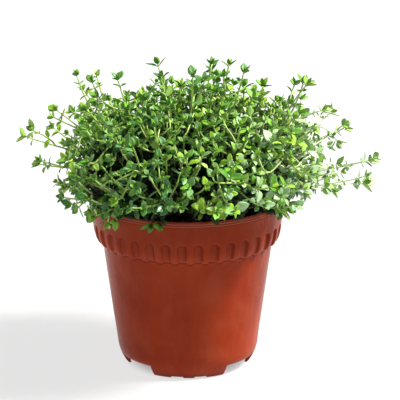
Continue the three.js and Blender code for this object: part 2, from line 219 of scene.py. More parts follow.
# ------------------------------------------------------------------ materials
def plastic_material():
    n = Nodes("pot_plastic")
    at = n.coords()
    big = n.noise(at, 26.0, 3.0, 0.55)
    streak = n.noise(n.scaled(at, (1.0, 1.0, 0.16)), 210.0, 3.0, 0.55)
    fine = n.noise(at, 2600.0, 2.0, 0.5)
    col = n.mix(n.span(big, 0.35, 0.66, 0.0, 1.0), (0.255, 0.0235, 0.0040), (0.315, 0.0345, 0.0062))
    col = n.mix(n.span(streak, 0.45, 0.75, 0.0, 0.16), col, (0.40, 0.060, 0.016))
    haze = n.noise(n.scaled(at, (1.0, 1.0, 0.8)), 62.0, 4.0, 0.6, 0.4)
    col = n.mix(n.span(haze, 0.46, 0.72, 0.0, 0.20, "SMOOTHSTEP"), col, (0.33, 0.092, 0.044))
    # a film of dust lies in the corner under the collar and on the feet
    px, py, pz = n.attribute("part")
    dust = n.math("MULTIPLY", py, n.span(n.noise(at, 420.0, 4.0, 0.6), 0.42, 0.66, 0.0, 1.0))
    col = n.mix(n.math("MULTIPLY", dust, 0.35), col, (0.17, 0.075, 0.045))
    # painted reflection: pale glint streaks down the right of the wall
    where = n.new("ShaderNodeSeparateXYZ")
    n.link(at, where.inputs[0])
    painted_glint = n.noise(n.scaled(at, (1.0, 1.0, 0.16)), 330.0, 3.0, 0.55, 0.5)
    painted_glint = n.math("MULTIPLY", n.span(painted_glint, 0.50, 0.72, 0.0, 1.0, "SMOOTHSTEP"), n.span(where.outputs[0], 0.024, 0.046, 0.0, 0.28, "SMOOTHSTEP"))
    col = n.mix(painted_glint, col, (0.62, 0.150, 0.065))
    # painted shade from part x: darker in the flutes, under the collar, under the rim's bead and over the inside; part
    # x is also darker towards the bottom of the feet
    col = n.mix(n.math("MULTIPLY", px, 0.62), col, (0.060, 0.010, 0.005))
    # painted highlight from part z: the rim's bead paler, with two pale lines along its edges
    col = n.mix(n.math("MULTIPLY", pz, 0.62), col, (0.50, 0.150, 0.100))
    n.link(col, n.bsdf.inputs["Base Color"])
    rough = n.math("ADD", n.span(big, 0.3, 0.7, 0.24, 0.34), n.span(fine, 0.3, 0.7, -0.03, 0.05))
    rough = n.math("ADD", rough, n.math("MULTIPLY", dust, 0.25))
    rough = n.math("ADD", rough, n.math("MULTIPLY", px, 0.40))
    rough = n.math("ADD", rough, n.span(haze, 0.46, 0.72, 0.0, 0.14))
    n.link(rough, n.bsdf.inputs["Roughness"])
    n.bsdf.inputs["Specular IOR Level"].default_value = 0.09
    n.bsdf.inputs["IOR"].default_value = 1.49
    n.bsdf.inputs["Subsurface Weight"].default_value = 0.12
    n.bsdf.inputs["Subsurface Radius"].default_value = (1.0, 0.22, 0.1)
    n.bsdf.inputs["Subsurface Scale"].default_value = 0.0012
    wavy = n.bump(n.noise(n.scaled(at, (1.0, 1.0, 0.30)), 52.0, 2.0, 0.5, 0.5), 0.0010, 0.75)
    wavy = n.bump(n.noise(n.scaled(at, (1.0, 1.0, 0.14)), 150.0, 2.0, 0.5, 0.3), 0.00035, 0.55, wavy)
    n.link(n.bump(fine, 0.00006, 0.25, wavy), n.bsdf.inputs["Normal"])
    return n.mat


def soil_material():
    n = Nodes("potting_mix")
    at = n.coords()
    kind, shade, _ = n.attribute("crumb")       # kind 0 peat, 0.5 bark, 1 perlite
    grain = n.noise(at, 900.0, 5.0, 0.65)
    clump = n.noise(at, 170.0, 3.0, 0.6)
    peat = n.mix(n.span(grain, 0.35, 0.68, 0.0, 1.0), (0.011, 0.0065, 0.004), (0.055, 0.031, 0.018))
    peat = n.mix(n.span(clump, 0.45, 0.7, 0.0, 0.6), peat, (0.022, 0.012, 0.008))
    bark = n.mix(n.span(n.noise(n.scaled(at, (1.0, 1.0, 6.0)), 600.0, 4.0, 0.6), 0.35, 0.7, 0.0, 1.0),
                 (0.05, 0.022, 0.011), (0.15, 0.075, 0.036))
    pale = n.mix(n.span(grain, 0.3, 0.7, 0.0, 1.0), (0.36, 0.33, 0.28), (0.68, 0.66, 0.61))
    col = n.mix(n.span(kind, 0.2, 0.4, 0.0, 1.0), peat, bark)
    col = n.mix(n.span(kind, 0.7, 0.9, 0.0, 1.0), col, pale)
    col = n.mix(n.span(shade, 0.0, 1.0, 0.0, 0.45), col, (0.01, 0.006, 0.004))
    n.link(col, n.bsdf.inputs["Base Color"])
    n.link(n.span(grain, 0.3, 0.7, 0.72, 0.96), n.bsdf.inputs["Roughness"])
    n.bsdf.inputs["Specular IOR Level"].default_value = 0.3
    n.link(n.bump(grain, 0.0008, 0.8), n.bsdf.inputs["Normal"])
    return n.mat


def leaf_material(name, shine, through):
    n = Nodes(name)
    at = n.coords()
    u, v, under = n.attribute("leaf")           # along, across (-1 to 1), 1 on the underside
    age, luck, gloss = n.attribute("tone")      # 0 in the bud to 1 on old wood, shifted by place for painted light and shade; two random numbers
    deep, painted_sheen, _ = n.attribute("place")       # painted shade, 0 out in the light to 1 inside the plant; painted sheen
    mottle = n.noise(at, 520.0, 3.0, 0.55)
    fine = n.noise(at, 3600.0, 2.0, 0.5)
    ripe = n.math("ADD", age, n.span(mottle, 0.3, 0.7, -0.10, 0.10), clamp=True)
    col = n.ramp(ripe,
                 (0.0, (0.470, 0.760, 0.044)), (0.22, (0.250, 0.585, 0.032)), (0.5, (0.096, 0.350, 0.036)),
                 (0.78, (0.036, 0.205, 0.036)), (1.0, (0.018, 0.112, 0.030)))
    col = n.mix(n.span(luck, 0.0, 0.5, 0.60, 0.0), col, (0.022, 0.130, 0.038))
    col = n.mix(n.span(luck, 0.70, 1.0, 0.0, 0.45), col, (0.370, 0.620, 0.040))
    # midrib and a few side veins, paler than the blade; the base runs into a pale stalk
    off = n.math("ABSOLUTE", v)
    rib = n.math("MULTIPLY", n.span(off, 0.0, 0.16, 1.0, 0.0, "SMOOTHSTEP"), n.span(u, 0.1, 0.95, 1.0, 0.25))
    sweep = n.math("SUBTRACT", n.math("MULTIPLY", u, 5.2), n.math("MULTIPLY", off, 1.5))
    vein = n.math("PINGPONG", sweep, 0.5)
    vein = n.math("MULTIPLY", n.span(vein, 0.0, 0.13, 1.0, 0.0, "SMOOTHSTEP"), n.span(off, 0.05, 0.9, 1.0, 0.0))
    line = n.math("ADD", n.math("MULTIPLY", rib, 0.62), n.math("MULTIPLY", vein, 0.18), clamp=True)
    col = n.mix(line, col, (0.360, 0.560, 0.110))
    col = n.mix(n.span(u, 0.0, 0.24, 0.6, 0.0), col, (0.340, 0.500, 0.080))
    rim = n.span(off, 0.86, 1.0, 0.0, 0.25)
    col = n.mix(rim, col, (0.260, 0.440, 0.080))
    col = n.mix(n.math("MULTIPLY", under, 0.55), col, (0.170, 0.340, 0.105))
    # painted sheen: whitish leaves standing in for a highlight
    col = n.mix(n.math("MULTIPLY", painted_sheen, n.span(mottle, 0.3, 0.7, 0.55, 0.88)), col, (0.630, 0.800, 0.560))
    # painted shade: leaves deep inside the plant darkened nearly to black
    col = n.mix(n.math("MULTIPLY", deep, 0.96), col, (0.004, 0.018, 0.006))
    n.link(col, n.bsdf.inputs["Base Color"])
    rough = n.math("ADD", n.span(gloss, 0.0, 1.0, 0.28, 0.50), n.span(fine, 0.3, 0.7, -0.04, 0.06))
    rough = n.math("ADD", rough, n.math("MULTIPLY", under, 0.16))
    n.link(rough, n.bsdf.inputs["Roughness"])
    n.bsdf.inputs["Specular IOR Level"].default_value = shine
    n.bsdf.inputs["Sheen Weight"].default_value = 0.06 * shine
    n.bsdf.inputs["Sheen Roughness"].default_value = 0.4
    n.bsdf.inputs["Sheen Tint"].default_value = (0.82, 0.92, 1.0, 1.0)
    n.bsdf.inputs["Subsurface Weight"].default_value = 0.0
    veins = n.bump(n.math("ADD", n.math("MULTIPLY", rib, -0.8), n.math("MULTIPLY", vein, -0.45)), 0.00012, 0.9)
    n.link(n.bump(fine, 0.00008, 0.4, veins), n.bsdf.inputs["Normal"])
    # light comes through the thin blade; its colour is paler out in the light and darker inside, following the painted
    # shade
    glow = n.new("ShaderNodeBsdfTranslucent")
    n.link(n.mix(n.span(deep, 0.0, 1.0, 0.42, 0.03), col, (0.34, 0.68, 0.03)), glow.inputs["Color"])
    both = n.new("ShaderNodeMixShader")
    both.inputs[0].default_value = through
    n.link(n.bsdf.outputs[0], both.inputs[1])
    n.link(glow.outputs[0], both.inputs[2])
    n.link(both.outputs[0], n.tree.nodes["Material Output"].inputs["Surface"])
    return n.mat


def stem_material():
    n = Nodes("thyme_stem")
    at = n.coords()
    along, luck, deep = n.attribute("stem")     # 0 at the root to 1 at the tip; 1 deep inside the plant
    fibre = n.noise(at, 1500.0, 3.0, 0.6)
    patch = n.noise(at, 160.0, 2.0, 0.5)
    where = n.math("ADD", along, n.span(patch, 0.3, 0.7, -0.12, 0.12), clamp=True)
    col = n.ramp(where,
                 (0.0, (0.060, 0.040, 0.018)), (0.22, (0.120, 0.100, 0.035)), (0.45, (0.240, 0.330, 0.070)),
                 (0.7, (0.340, 0.520, 0.105)), (1.0, (0.420, 0.650, 0.130)))
    col = n.mix(n.span(luck, 0.8, 1.0, 0.0, 0.30), col, (0.330, 0.170, 0.080))
    col = n.mix(n.span(fibre, 0.4, 0.75, 0.0, 0.35), col, (0.560, 0.620, 0.330))
    where = n.new("ShaderNodeSeparateXYZ")
    n.link(at, where.inputs[0])
    col = n.mix(n.span(where.outputs[0], 0.050, 0.074, 0.0, 0.84, "SMOOTHSTEP"), col, (0.780, 0.870, 0.640))
    # painted shade: stalks deep inside the plant darkened
    col = n.mix(n.math("MULTIPLY", deep, 0.93), col, (0.012, 0.016, 0.006))
    n.link(col, n.bsdf.inputs["Base Color"])
    n.link(n.span(fibre, 0.3, 0.7, 0.42, 0.62), n.bsdf.inputs["Roughness"])
    n.bsdf.inputs["Specular IOR Level"].default_value = 0.45
    n.link(n.bump(fibre, 0.00010, 0.6), n.bsdf.inputs["Normal"])
    return n.mat


def floor_material():
    n = Nodes("studio_floor")
    at = n.coords()
    col = n.mix(n.span(n.noise(at, 3.0, 2.0, 0.5), 0.3, 0.7, 0.0, 1.0), (0.19, 0.19, 0.19), (0.21, 0.21, 0.21))
    n.link(col, n.bsdf.inputs["Base Color"])
    # painted shadow: the floor under the pot glows less, as if in the pot's shade
    way = n.new("ShaderNodeVectorMath")
    way.operation = "DISTANCE"
    n.link(at, way.inputs[0])
    way.inputs[1].default_value = (-0.0078, 0.0, 0.0)
    near = n.span(way.outputs["Value"], 0.022, 0.042, 1.0, 0.0, "SMOOTHSTEP")
    n.link(n.mix(near, (1.0, 1.0, 1.0), (0.30, 0.29, 0.285)), n.bsdf.inputs["Emission Color"])
    n.bsdf.inputs["Emission Strength"].default_value = 0.72
    n.bsdf.inputs["Roughness"].default_value = 0.9
    n.bsdf.inputs["Specular IOR Level"].default_value = 0.15
    return n.mat


PLASTIC, MIX, STEM = plastic_material(), soil_material(), stem_material()
# a lit and a shaded copy of the leaf material: the shaded one, for leaves deep inside, has little shine and little
# light through
LEAF, LEAF_INNER = leaf_material("thyme_leaf", 0.58, 0.26), leaf_material("thyme_leaf_inner", 0.10, 0.10)

# ------------------------------------------------------------------ pot
FLUTES, FLUTE_TURN, FLUTE_HALF, FLUTE_D, FLUTE_TOP = 36, -3.3, 2.95, 1.55, 92.3
NOTCHES = ((35.4, 79.5), (157.0, 209.0), (282.0, 327.0))      # between the feet, degrees around the pot
FEET = (1.2, 121.0, 245.0)                                    # middles of the feet
RELIEF = (5.2, 17.1)

# One column of the wall, from the middle of the floor's underside round the foot,
# up the outside, over the rim, down the inside and back to the middle.
UNDER = [(0.0, 7.4), (8.0, 7.4), (14.0, 7.4), (19.0, 7.4), (20.0, 7.4), (21.0, 7.4), (22.0, 7.4), (23.0, 7.4),
         (24.0, 7.4), (25.0, 7.4), (26.0, 7.4), (27.0, 7.4), (32.0, 7.4), (38.6, 7.4), (39.3, 7.3)]
FOOT = [(39.2, 6.8), (38.6, 5.4), (37.5, 3.0), (36.7, 1.2), (36.3, 0.42), (36.3, 0.12), (36.6, 0.0), (37.0, 0.0),
        (37.5, 0.0), (37.9, 0.14), (38.4, 0.7), (39.3, 1.8), (40.75, 4.1), (41.75, 6.0), (42.1, 6.8)]
FOOT_CUT = [(39.2, 6.8), (38.6, 5.4), (37.4, 3.0), (36.7, 1.5), (36.5, 1.12), (36.7, 1.0), (37.0, 1.0), (37.5, 1.0),
            (38.0, 1.0), (38.4, 1.05), (38.8, 1.25), (39.3, 1.8), (40.75, 4.1), (41.75, 6.0), (42.1, 6.8)]
NOTCH = [(39.45, 7.2), (39.6, 7.12), (39.75, 7.06), (39.9, 7.0), (40.05, 6.95), (40.2, 6.9), (40.4, 6.88),
         (40.6, 6.86), (40.85, 6.84), (41.1, 6.86), (41.3, 6.9), (41.5, 6.96), (41.7, 7.05), (41.85, 7.2), (42.05, 7.5)]
WALL = [(42.7, 8.2), (43.15, 9.6), (43.6, 11.2), (43.95, 13.0), (44.2, 15.0), (44.5, 17.5), (44.95, 21.0),
        (45.7, 26.5), (46.7, 33.5), (47.7, 40.7), (48.7, 48.0), (49.7, 55.2), (50.6, 61.8), (51.2, 66.0),
        (51.65, 69.2), (51.95, 71.6), (52.2, 74.0), (52.42, 76.4), (52.53, 77.0), (52.60, 77.4), (52.68, 77.7),
        (52.80, 78.05), (52.92, 78.35), (53.05, 78.6), (53.35, 78.95), (53.7, 79.25),
        (54.6, 79.6), (55.55, 79.95), (56.15, 80.45), (56.5, 81.1)]
COLLAR_Z = ([81.7 + 0.5 * k for k in range(12)] + [87.5, 87.8, 88.2, 88.6, 89.0, 89.35, 89.7, 90.0, 90.3, 90.6,
            90.9, 91.2, 91.5, 91.8, 92.05, 92.3, 92.7, 93.3, 94.2, 96.0, 98.0, 100.2, 102.0, 103.2])
RIM = [(59.3, 103.55), (59.42, 103.66), (59.8, 103.74), (60.12, 103.88), (60.25, 104.1), (60.2, 104.35), (60.05, 104.6),
       (59.8, 104.82), (59.72, 104.95), (59.8, 105.1), (59.84, 105.3), (59.72, 105.7), (59.5, 106.3), (59.25, 106.75),
       (58.95, 106.97), (58.6, 106.98), (58.3, 106.8), (58.1, 106.2)]
INSIDE = [(57.85, 104.8), (57.4, 101.5), (56.6, 96.0), (55.7, 90.0), (54.9, 84.5), (53.4, 80.6), (51.6, 76.9),
          (50.85, 74.5), (49.0, 60.0), (46.5, 42.0), (44.3, 26.0), (43.1, 17.4), (42.5, 13.0), (41.6, 10.0), (40.6, 8.75)]
TOP = [(38.6, 8.6), (32.0, 8.6), (27.0, 8.6), (26.0, 8.6), (25.0, 8.6), (24.0, 8.6), (23.0, 8.6), (22.0, 8.6),
       (21.0, 8.6), (20.0, 8.6), (19.0, 8.6), (14.0, 8.6), (8.0, 8.6), (0.0, 8.6)]


def collar_r(z):
    return np.interp(z, [81.1, 82.4, 84.0, 86.0, 88.0, 91.0, 96.0, 103.4], [56.5, 57.15, 57.75, 58.25, 58.55, 58.85, 59.1, 59.35])


def wall_r(z):
    return np.interp(z, [71.0, 76.8, 79.5, 82.0, 92.0], [51.9, 52.6, 53.3, 53.9, 55.4])


def pot_columns():
    """Angles of the columns, in degrees, close together where an edge runs up the wall."""
    pitch = 360.0 / FLUTES
    a = []
    offs = [0.0, 0.9, 1.6, 2.1, 2.45, 2.75, 3.1, 3.6]
    for i in range(FLUTES):
        c = FLUTE_TURN + i * pitch
        a += [c + o for o in offs] + [c - o for o in offs[1:]] + [c + pitch / 2]
    edges = [e for pair in NOTCHES for e in pair] + [f + s * r for f in FEET for s in (1, -1) for r in RELIEF]
    for e in edges:
        a += [e - 0.11, e + 0.11]
    for k in range(6):
        for o in (-10.0, -7.5, -5.0, -2.5, 0.0, 2.5, 5.0, 7.5, 10.0):
            a.append((k + 0.5) * 60.0 + o)
    a = sorted(x % 360.0 for x in a)
    out = [a[0]]
    keep = {round((e + s) % 360.0, 3) for e in edges for s in (-0.11, 0.11)} | {round(((k + 0.5) * 60 + o) % 360, 3) for k in range(6) for o in (-10, -7.5, -5, -2.5, 0, 2.5, 5, 7.5, 10)}
    for x in a[1:]:
        if x - out[-1] < 0.10:
            if round(x, 3) in keep and round(out[-1], 3) not in keep:
                out[-1] = x
            elif not (round(x, 3) in keep and round(out[-1], 3) in keep and x - out[-1] > 0.01):
                continue
            else:
                out.append(x)
        else:
            out.append(x)
    return np.array(out)


def build_pot():
    cols = pot_columns()
    rows = UNDER + FOOT + WALL + [(collar_r(z), z) for z in COLLAR_Z] + RIM + INSIDE + TOP
    base = np.array(rows, float)
    nr, nc = len(base), len(cols)
    R = np.repeat(base[:, 0][:, None], nc, 1)
    Z = np.repeat(base[:, 1][:, None], nc, 1)
    f0, f1 = len(UNDER), len(UNDER) + len(FOOT)
    for j in range(nc):
        away = min(abs((cols[j] - f + 180) % 360 - 180) for f in FEET)
        if any(a < cols[j] < b for a, b in NOTCHES):
            form = NOTCH
        elif RELIEF[0] < away < RELIEF[1]:
            form = FOOT_CUT
        else:
            continue
        R[f0:f1, j] = [p[0] for p in form]
        Z[f0:f1, j] = [p[1] for p in form]
    # arched flutes: the collar is pressed in, down to the wall line at its lower edge
    s0 = f1 + [p[1] > 73.9 for p in WALL].index(True)
    s1 = f1 + len(WALL) + len(COLLAR_Z)
    pitch = 360.0 / FLUTES
    off = (cols - FLUTE_TURN + pitch / 2) % pitch - pitch / 2
    for i in range(s0, s1):
        side = np.radians(off) * 57.0
        spring = FLUTE_TOP - FLUTE_HALF
        if base[i, 1] <= spring:
            inside = FLUTE_HALF - np.abs(side)
        else:
            inside = FLUTE_HALF - np.hypot(side, base[i, 1] - spring)
        press = FLUTE_D * smooth(-0.40, 0.95, inside) * (0.92 + 0.10 * smooth(80.0, 90.0, base[i, 1]))
        R[i] = np.maximum(R[i] - press, np.minimum(R[i], wall_r(base[i, 1]) + 0.02))
    th = np.radians(cols)
    X = POT_X + R * np.sin(th)[None, :]
    Y = -R * np.cos(th)[None, :]
    verts = np.stack([X, Y, Z], -1).reshape(-1, 3)
    # the moulded wall isn't quite true
    r = np.hypot(verts[:, 0] - POT_X, verts[:, 1])
    swell = waves(verts * (1, 1, 0.5), 31, 4, 0.006, 0.014) * 0.16 * smooth(10, 24, verts[:, 2]) * (r > 40)
    out = np.stack([(verts[:, 0] - POT_X) / np.maximum(r, 1e-6), verts[:, 1] / np.maximum(r, 1e-6), np.zeros(len(r))], -1)
    verts = verts + out * swell[:, None]
    idx = np.arange(nr * nc).reshape(nr, nc)
    hole = np.zeros((nr - 1, nc), bool)
    # six drain holes through the floor: a block of cells goes, and its edge is drawn onto a circle
    top0 = nr - len(TOP)
    bottom_rows = [i for i, p in enumerate(UNDER) if 19.0 <= p[0] <= 27.0]
    top_rows = [top0 + i for i, p in enumerate(TOP) if 19.0 <= p[0] <= 27.0]
    walls = []
    for k in range(6):
        mid = (k + 0.5) * 60.0
        js = [j for j in range(nc) if abs((cols[j] - mid + 180) % 360 - 180) <= 10.001]
        js.sort(key=lambda j: (cols[j] - mid + 180) % 360)
        ca = np.array([POT_X + 23 * math.sin(math.radians(mid)), -23 * math.cos(math.radians(mid))])
        rings = []
        for rr in (bottom_rows, top_rows):
            for a in range(len(rr) - 1):
                for b in range(len(js) - 1):
                    hole[min(rr[a], rr[a + 1]), js[b]] = True
            ring = ([idx[rr[0], j] for j in js] + [idx[i, js[-1]] for i in rr[1:]]
                    + [idx[rr[-1], j] for j in reversed(js[:-1])] + [idx[i, js[0]] for i in reversed(rr[1:-1])])
            for v in ring:
                d = verts[v, :2] - ca
                verts[v, :2] = ca + d / np.linalg.norm(d) * 4.0
            rings.append(ring)
        # the top ring runs the other way round its radius, so its points are matched by angle
        ang = [np.arctan2(verts[r, 1] - ca[1], verts[r, 0] - ca[0]) for r in map(np.array, rings)]
        lo = [rings[0][i] for i in np.argsort(ang[0])]
        hi = [rings[1][i] for i in np.argsort(ang[1])]
        for a in range(len(lo)):
            b = (a + 1) % len(lo)
            walls.append((lo[a], hi[a], hi[b], lo[b]))
    faces = []
    first, last = idx[0, 0], idx[nr - 1, 0]
    for i in range(nr - 1):
        for j in range(nc):
            k = (j + 1) % nc
            if hole[i, j]:
                continue
            if i == 0:
                faces.append((first, idx[1, j], idx[1, k]))
            elif i == nr - 2:
                faces.append((idx[i, j], last, idx[i, k]))
            else:
                faces.append((idx[i, j], idx[i + 1, j], idx[i + 1, k], idx[i, k]))
    faces += walls
    # drop the spare vertices: the poles' copies and those inside the holes
    used = np.zeros(nr * nc, bool)
    for f in faces:
        used[list(f)] = True
    new = np.cumsum(used) - 1
    faces = [tuple(int(new[v]) for v in f) for f in faces]
    z = verts[:, 2]
    rr = np.hypot(verts[:, 0] - POT_X, verts[:, 1])
    part = np.zeros((len(verts), 3))
    part[:, 0] = smooth(5.5, 1.0, z) * 0.5
    part[:, 1] = np.clip(smooth(8, 0, z) * 0.6 + smooth(2.0, 0.0, np.abs(z - 77.6)) * 0.1 + smooth(2.5, 0, np.abs(z - 103.6)) * 0.5, 0, 1)
    pressed = np.zeros(nr * nc)
    shade = np.zeros(nr * nc)
    for i in range(s0, s1):
        pressed[idx[i]] = base[i, 0] - R[i]
        # painted shade under each arch and down its right side, the side turned from the light
        side = np.radians(off) * 57.0
        up = max(base[i, 1] - (FLUTE_TOP - FLUTE_HALF), 0.0)
        inside = FLUTE_HALF - np.hypot(side, up)
        body = smooth(-0.35, 0.45, inside) * smooth(3.6, 0.9, inside)
        shade[idx[i]] = body * np.clip(0.85 * smooth(-0.7, 2.3, side) + 0.9 * smooth(0.2, 2.5, up), 0, 1) * smooth(80.3, 81.8, base[i, 1])
        # a thin painted shadow line under the collar, drawn up a little at each flute
        line = 77.75 + 1.25 * smooth(-0.6, 0.8, FLUTE_HALF - np.abs(side))
        shade[idx[i]] += 1.15 * smooth(0.95, 0.2, np.abs(base[i, 1] - line))
    # painted shadow: a dark line under the rim's bead
    rim_shadow_line = smooth(0.45, 0.1, np.abs(z - 103.55)) * 0.9
    # part x sums the painted shade: the line under the bead, the pressed-in flutes, the arches and the line under the
    # collar
    part[:, 0] = np.clip(part[:, 0] + rim_shadow_line + 0.10 * smooth(0.2, 1.3, pressed) + 0.72 * shade, 0, 1)
    # painted highlight: the rim's bead is made paler, with two pale lines where its edges catch the light
    outer = (rr > 59.0) & (z > 103.62)
    part[:, 2] = outer * np.clip(0.40 + np.exp(-((z - 104.15) / 0.2) ** 2) + np.exp(-((z - 105.15) / 0.2) ** 2), 0, 1)
    # painted shade: the inside of the pot below the rim is darkened
    inner = np.zeros(nr * nc, bool)
    inner[idx[nr - len(TOP) - len(INSIDE):].ravel()] = True
    part[:, 0] = np.where(inner & (z < 101), 0.6, part[:, 0])
    return make_object("pot_shell", verts[used], faces, PLASTIC, {"part": part[used]}, turn=True)


# ------------------------------------------------------------------ potting mix
SOIL_TOP, SOIL_DROP, SOIL_R = 94.5, 1.5, 55.5


def soil_z(x, y):
    r = np.hypot(np.asarray(x, float) - POT_X, y) / SOIL_R
    return SOIL_TOP - SOIL_DROP * r * r


ICO = None


def lump(rng, squash=1.0):
    """A crumb: a small sphere pushed about, with about 1 for its radius."""
    global ICO
    if ICO is None:
        t = (1 + 5 ** 0.5) / 2
        v = [(-1, t, 0), (1, t, 0), (-1, -t, 0), (1, -t, 0), (0, -1, t), (0, 1, t), (0, -1, -t), (0, 1, -t),
             (t, 0, -1), (t, 0, 1), (-t, 0, -1), (-t, 0, 1)]
        f = [(0, 11, 5), (0, 5, 1), (0, 1, 7), (0, 7, 10), (0, 10, 11), (1, 5, 9), (5, 11, 4), (11, 10, 2), (10, 7, 6),
             (7, 1, 8), (3, 9, 4), (3, 4, 2), (3, 2, 6), (3, 6, 8), (3, 8, 9), (4, 9, 5), (2, 4, 11), (6, 2, 10),
             (8, 6, 7), (9, 8, 1)]
        v = [np.array(p, float) / math.hypot(1, t) for p in v]
        mids, g = {}, []
        for a, b, c in f:
            m = []
            for p, q in ((a, b), (b, c), (c, a)):
                key = (min(p, q), max(p, q))
                if key not in mids:
                    v.append(unit(v[p] + v[q]))
                    mids[key] = len(v) - 1
                m.append(mids[key])
            g += [(a, m[0], m[2]), (b, m[1], m[0]), (c, m[2], m[1]), tuple(m)]
        ICO = np.array(v), np.array(g)
    v, f = ICO
    k = rng.normal(size=(3, 3)) * 1.3
    push = 1 + 0.16 * np.sin(v @ k[0] * 2 + k[1, 0]) + 0.12 * np.sin(v @ k[1] * 3 + k[2, 1]) + rng.uniform(-0.09, 0.09, len(v))
    w = v * push[:, None] * rng.uniform(0.75, 1.2, 3)
    w[:, 2] *= squash
    q, _ = np.linalg.qr(rng.normal(size=(3, 3)))
    return w @ q, f


def build_soil():
    rng = np.random.default_rng(77)
    under = [(0.0, 8.9), (20.0, 8.9), (40.2, 8.9), (42.7, 17.5), (46.6, 46.0), (50.6, 75.7), (54.3, 84.6), (55.5, 92.4)]
    top = [(55.2, None), (53.5, None)] + [(r, None) for r in np.linspace(51, 1.5, 34)] + [(0.0, None)]
    nc = 168
    th = np.linspace(0, 2 * math.pi, nc, endpoint=False)
    rows = []
    for r, z in under + top:
        x, y = POT_X + r * np.sin(th), -r * np.cos(th)
        if z is None:
            p = np.stack([x, y, np.zeros(nc)], -1)
            h = waves(p, 5, 6, 0.03, 0.10) * 0.9 + waves(p, 6, 8, 0.12, 0.33) * 0.45
            edge = smooth(55.5, 51.0, r)
            zz = soil_z(x, y) + h * edge * 0.8 - (1 - edge) * 0.5
        else:
            zz = np.full(nc, float(z))
        rows.append(np.stack([x, y, zz], -1))
    V = np.array(rows)
    nr = len(rows)
    idx = np.arange(nr * nc).reshape(nr, nc)
    verts = [V.reshape(-1, 3)]
    faces = []
    for i in range(nr - 1):
        for j in range(nc):
            k = (j + 1) % nc
            if i == 0:
                faces.append((idx[0, 0], idx[1, j], idx[1, k]))
            elif i == nr - 2:
                faces.append((idx[i, j], idx[nr - 1, 0], idx[i, k]))
            else:
                faces.append((idx[i, j], idx[i + 1, j], idx[i + 1, k], idx[i, k]))
    crumb = [np.tile((0.0, 0.25, 0.0), (nr * nc, 1))]
    count = nr * nc
    for n in range(760):
        kind = 1.0 if n % 10 == 0 else (0.5 if n % 5 == 0 else 0.0)
        size = {1.0: rng.uniform(0.5, 1.25), 0.5: rng.uniform(0.9, 2.3), 0.0: rng.uniform(0.6, 1.9)}[kind]
        r, a = 53.3 * math.sqrt(rng.uniform(0, 1)), rng.uniform(0, 2 * math.pi)
        w, f = lump(rng, 0.35 if kind == 0.5 else 0.85)
        x, y = POT_X + r * math.sin(a), -r * math.cos(a)
        w = w * size
        w[:, :2] += (x, y)
        w[:, 2] += float(soil_z(x, y)) + size * rng.uniform(-0.2, 0.45)
        verts.append(w)
        faces += [(a0 + count, b0 + count, c0 + count) for a0, b0, c0 in f.tolist()]
        crumb.append(np.tile((kind, rng.uniform(0, 1), 0.0), (len(w), 1)))
        count += len(w)
    verts, crumb = np.vstack(verts), np.vstack(crumb)
    used = np.zeros(len(verts), bool)
    for f in faces:
        used[list(f)] = True
    new = np.cumsum(used) - 1
    faces = [tuple(int(new[v]) for v in f) for f in faces]
    return make_object("soil_bed", verts[used], faces, MIX, {"crumb": crumb[used]}, turn=True)


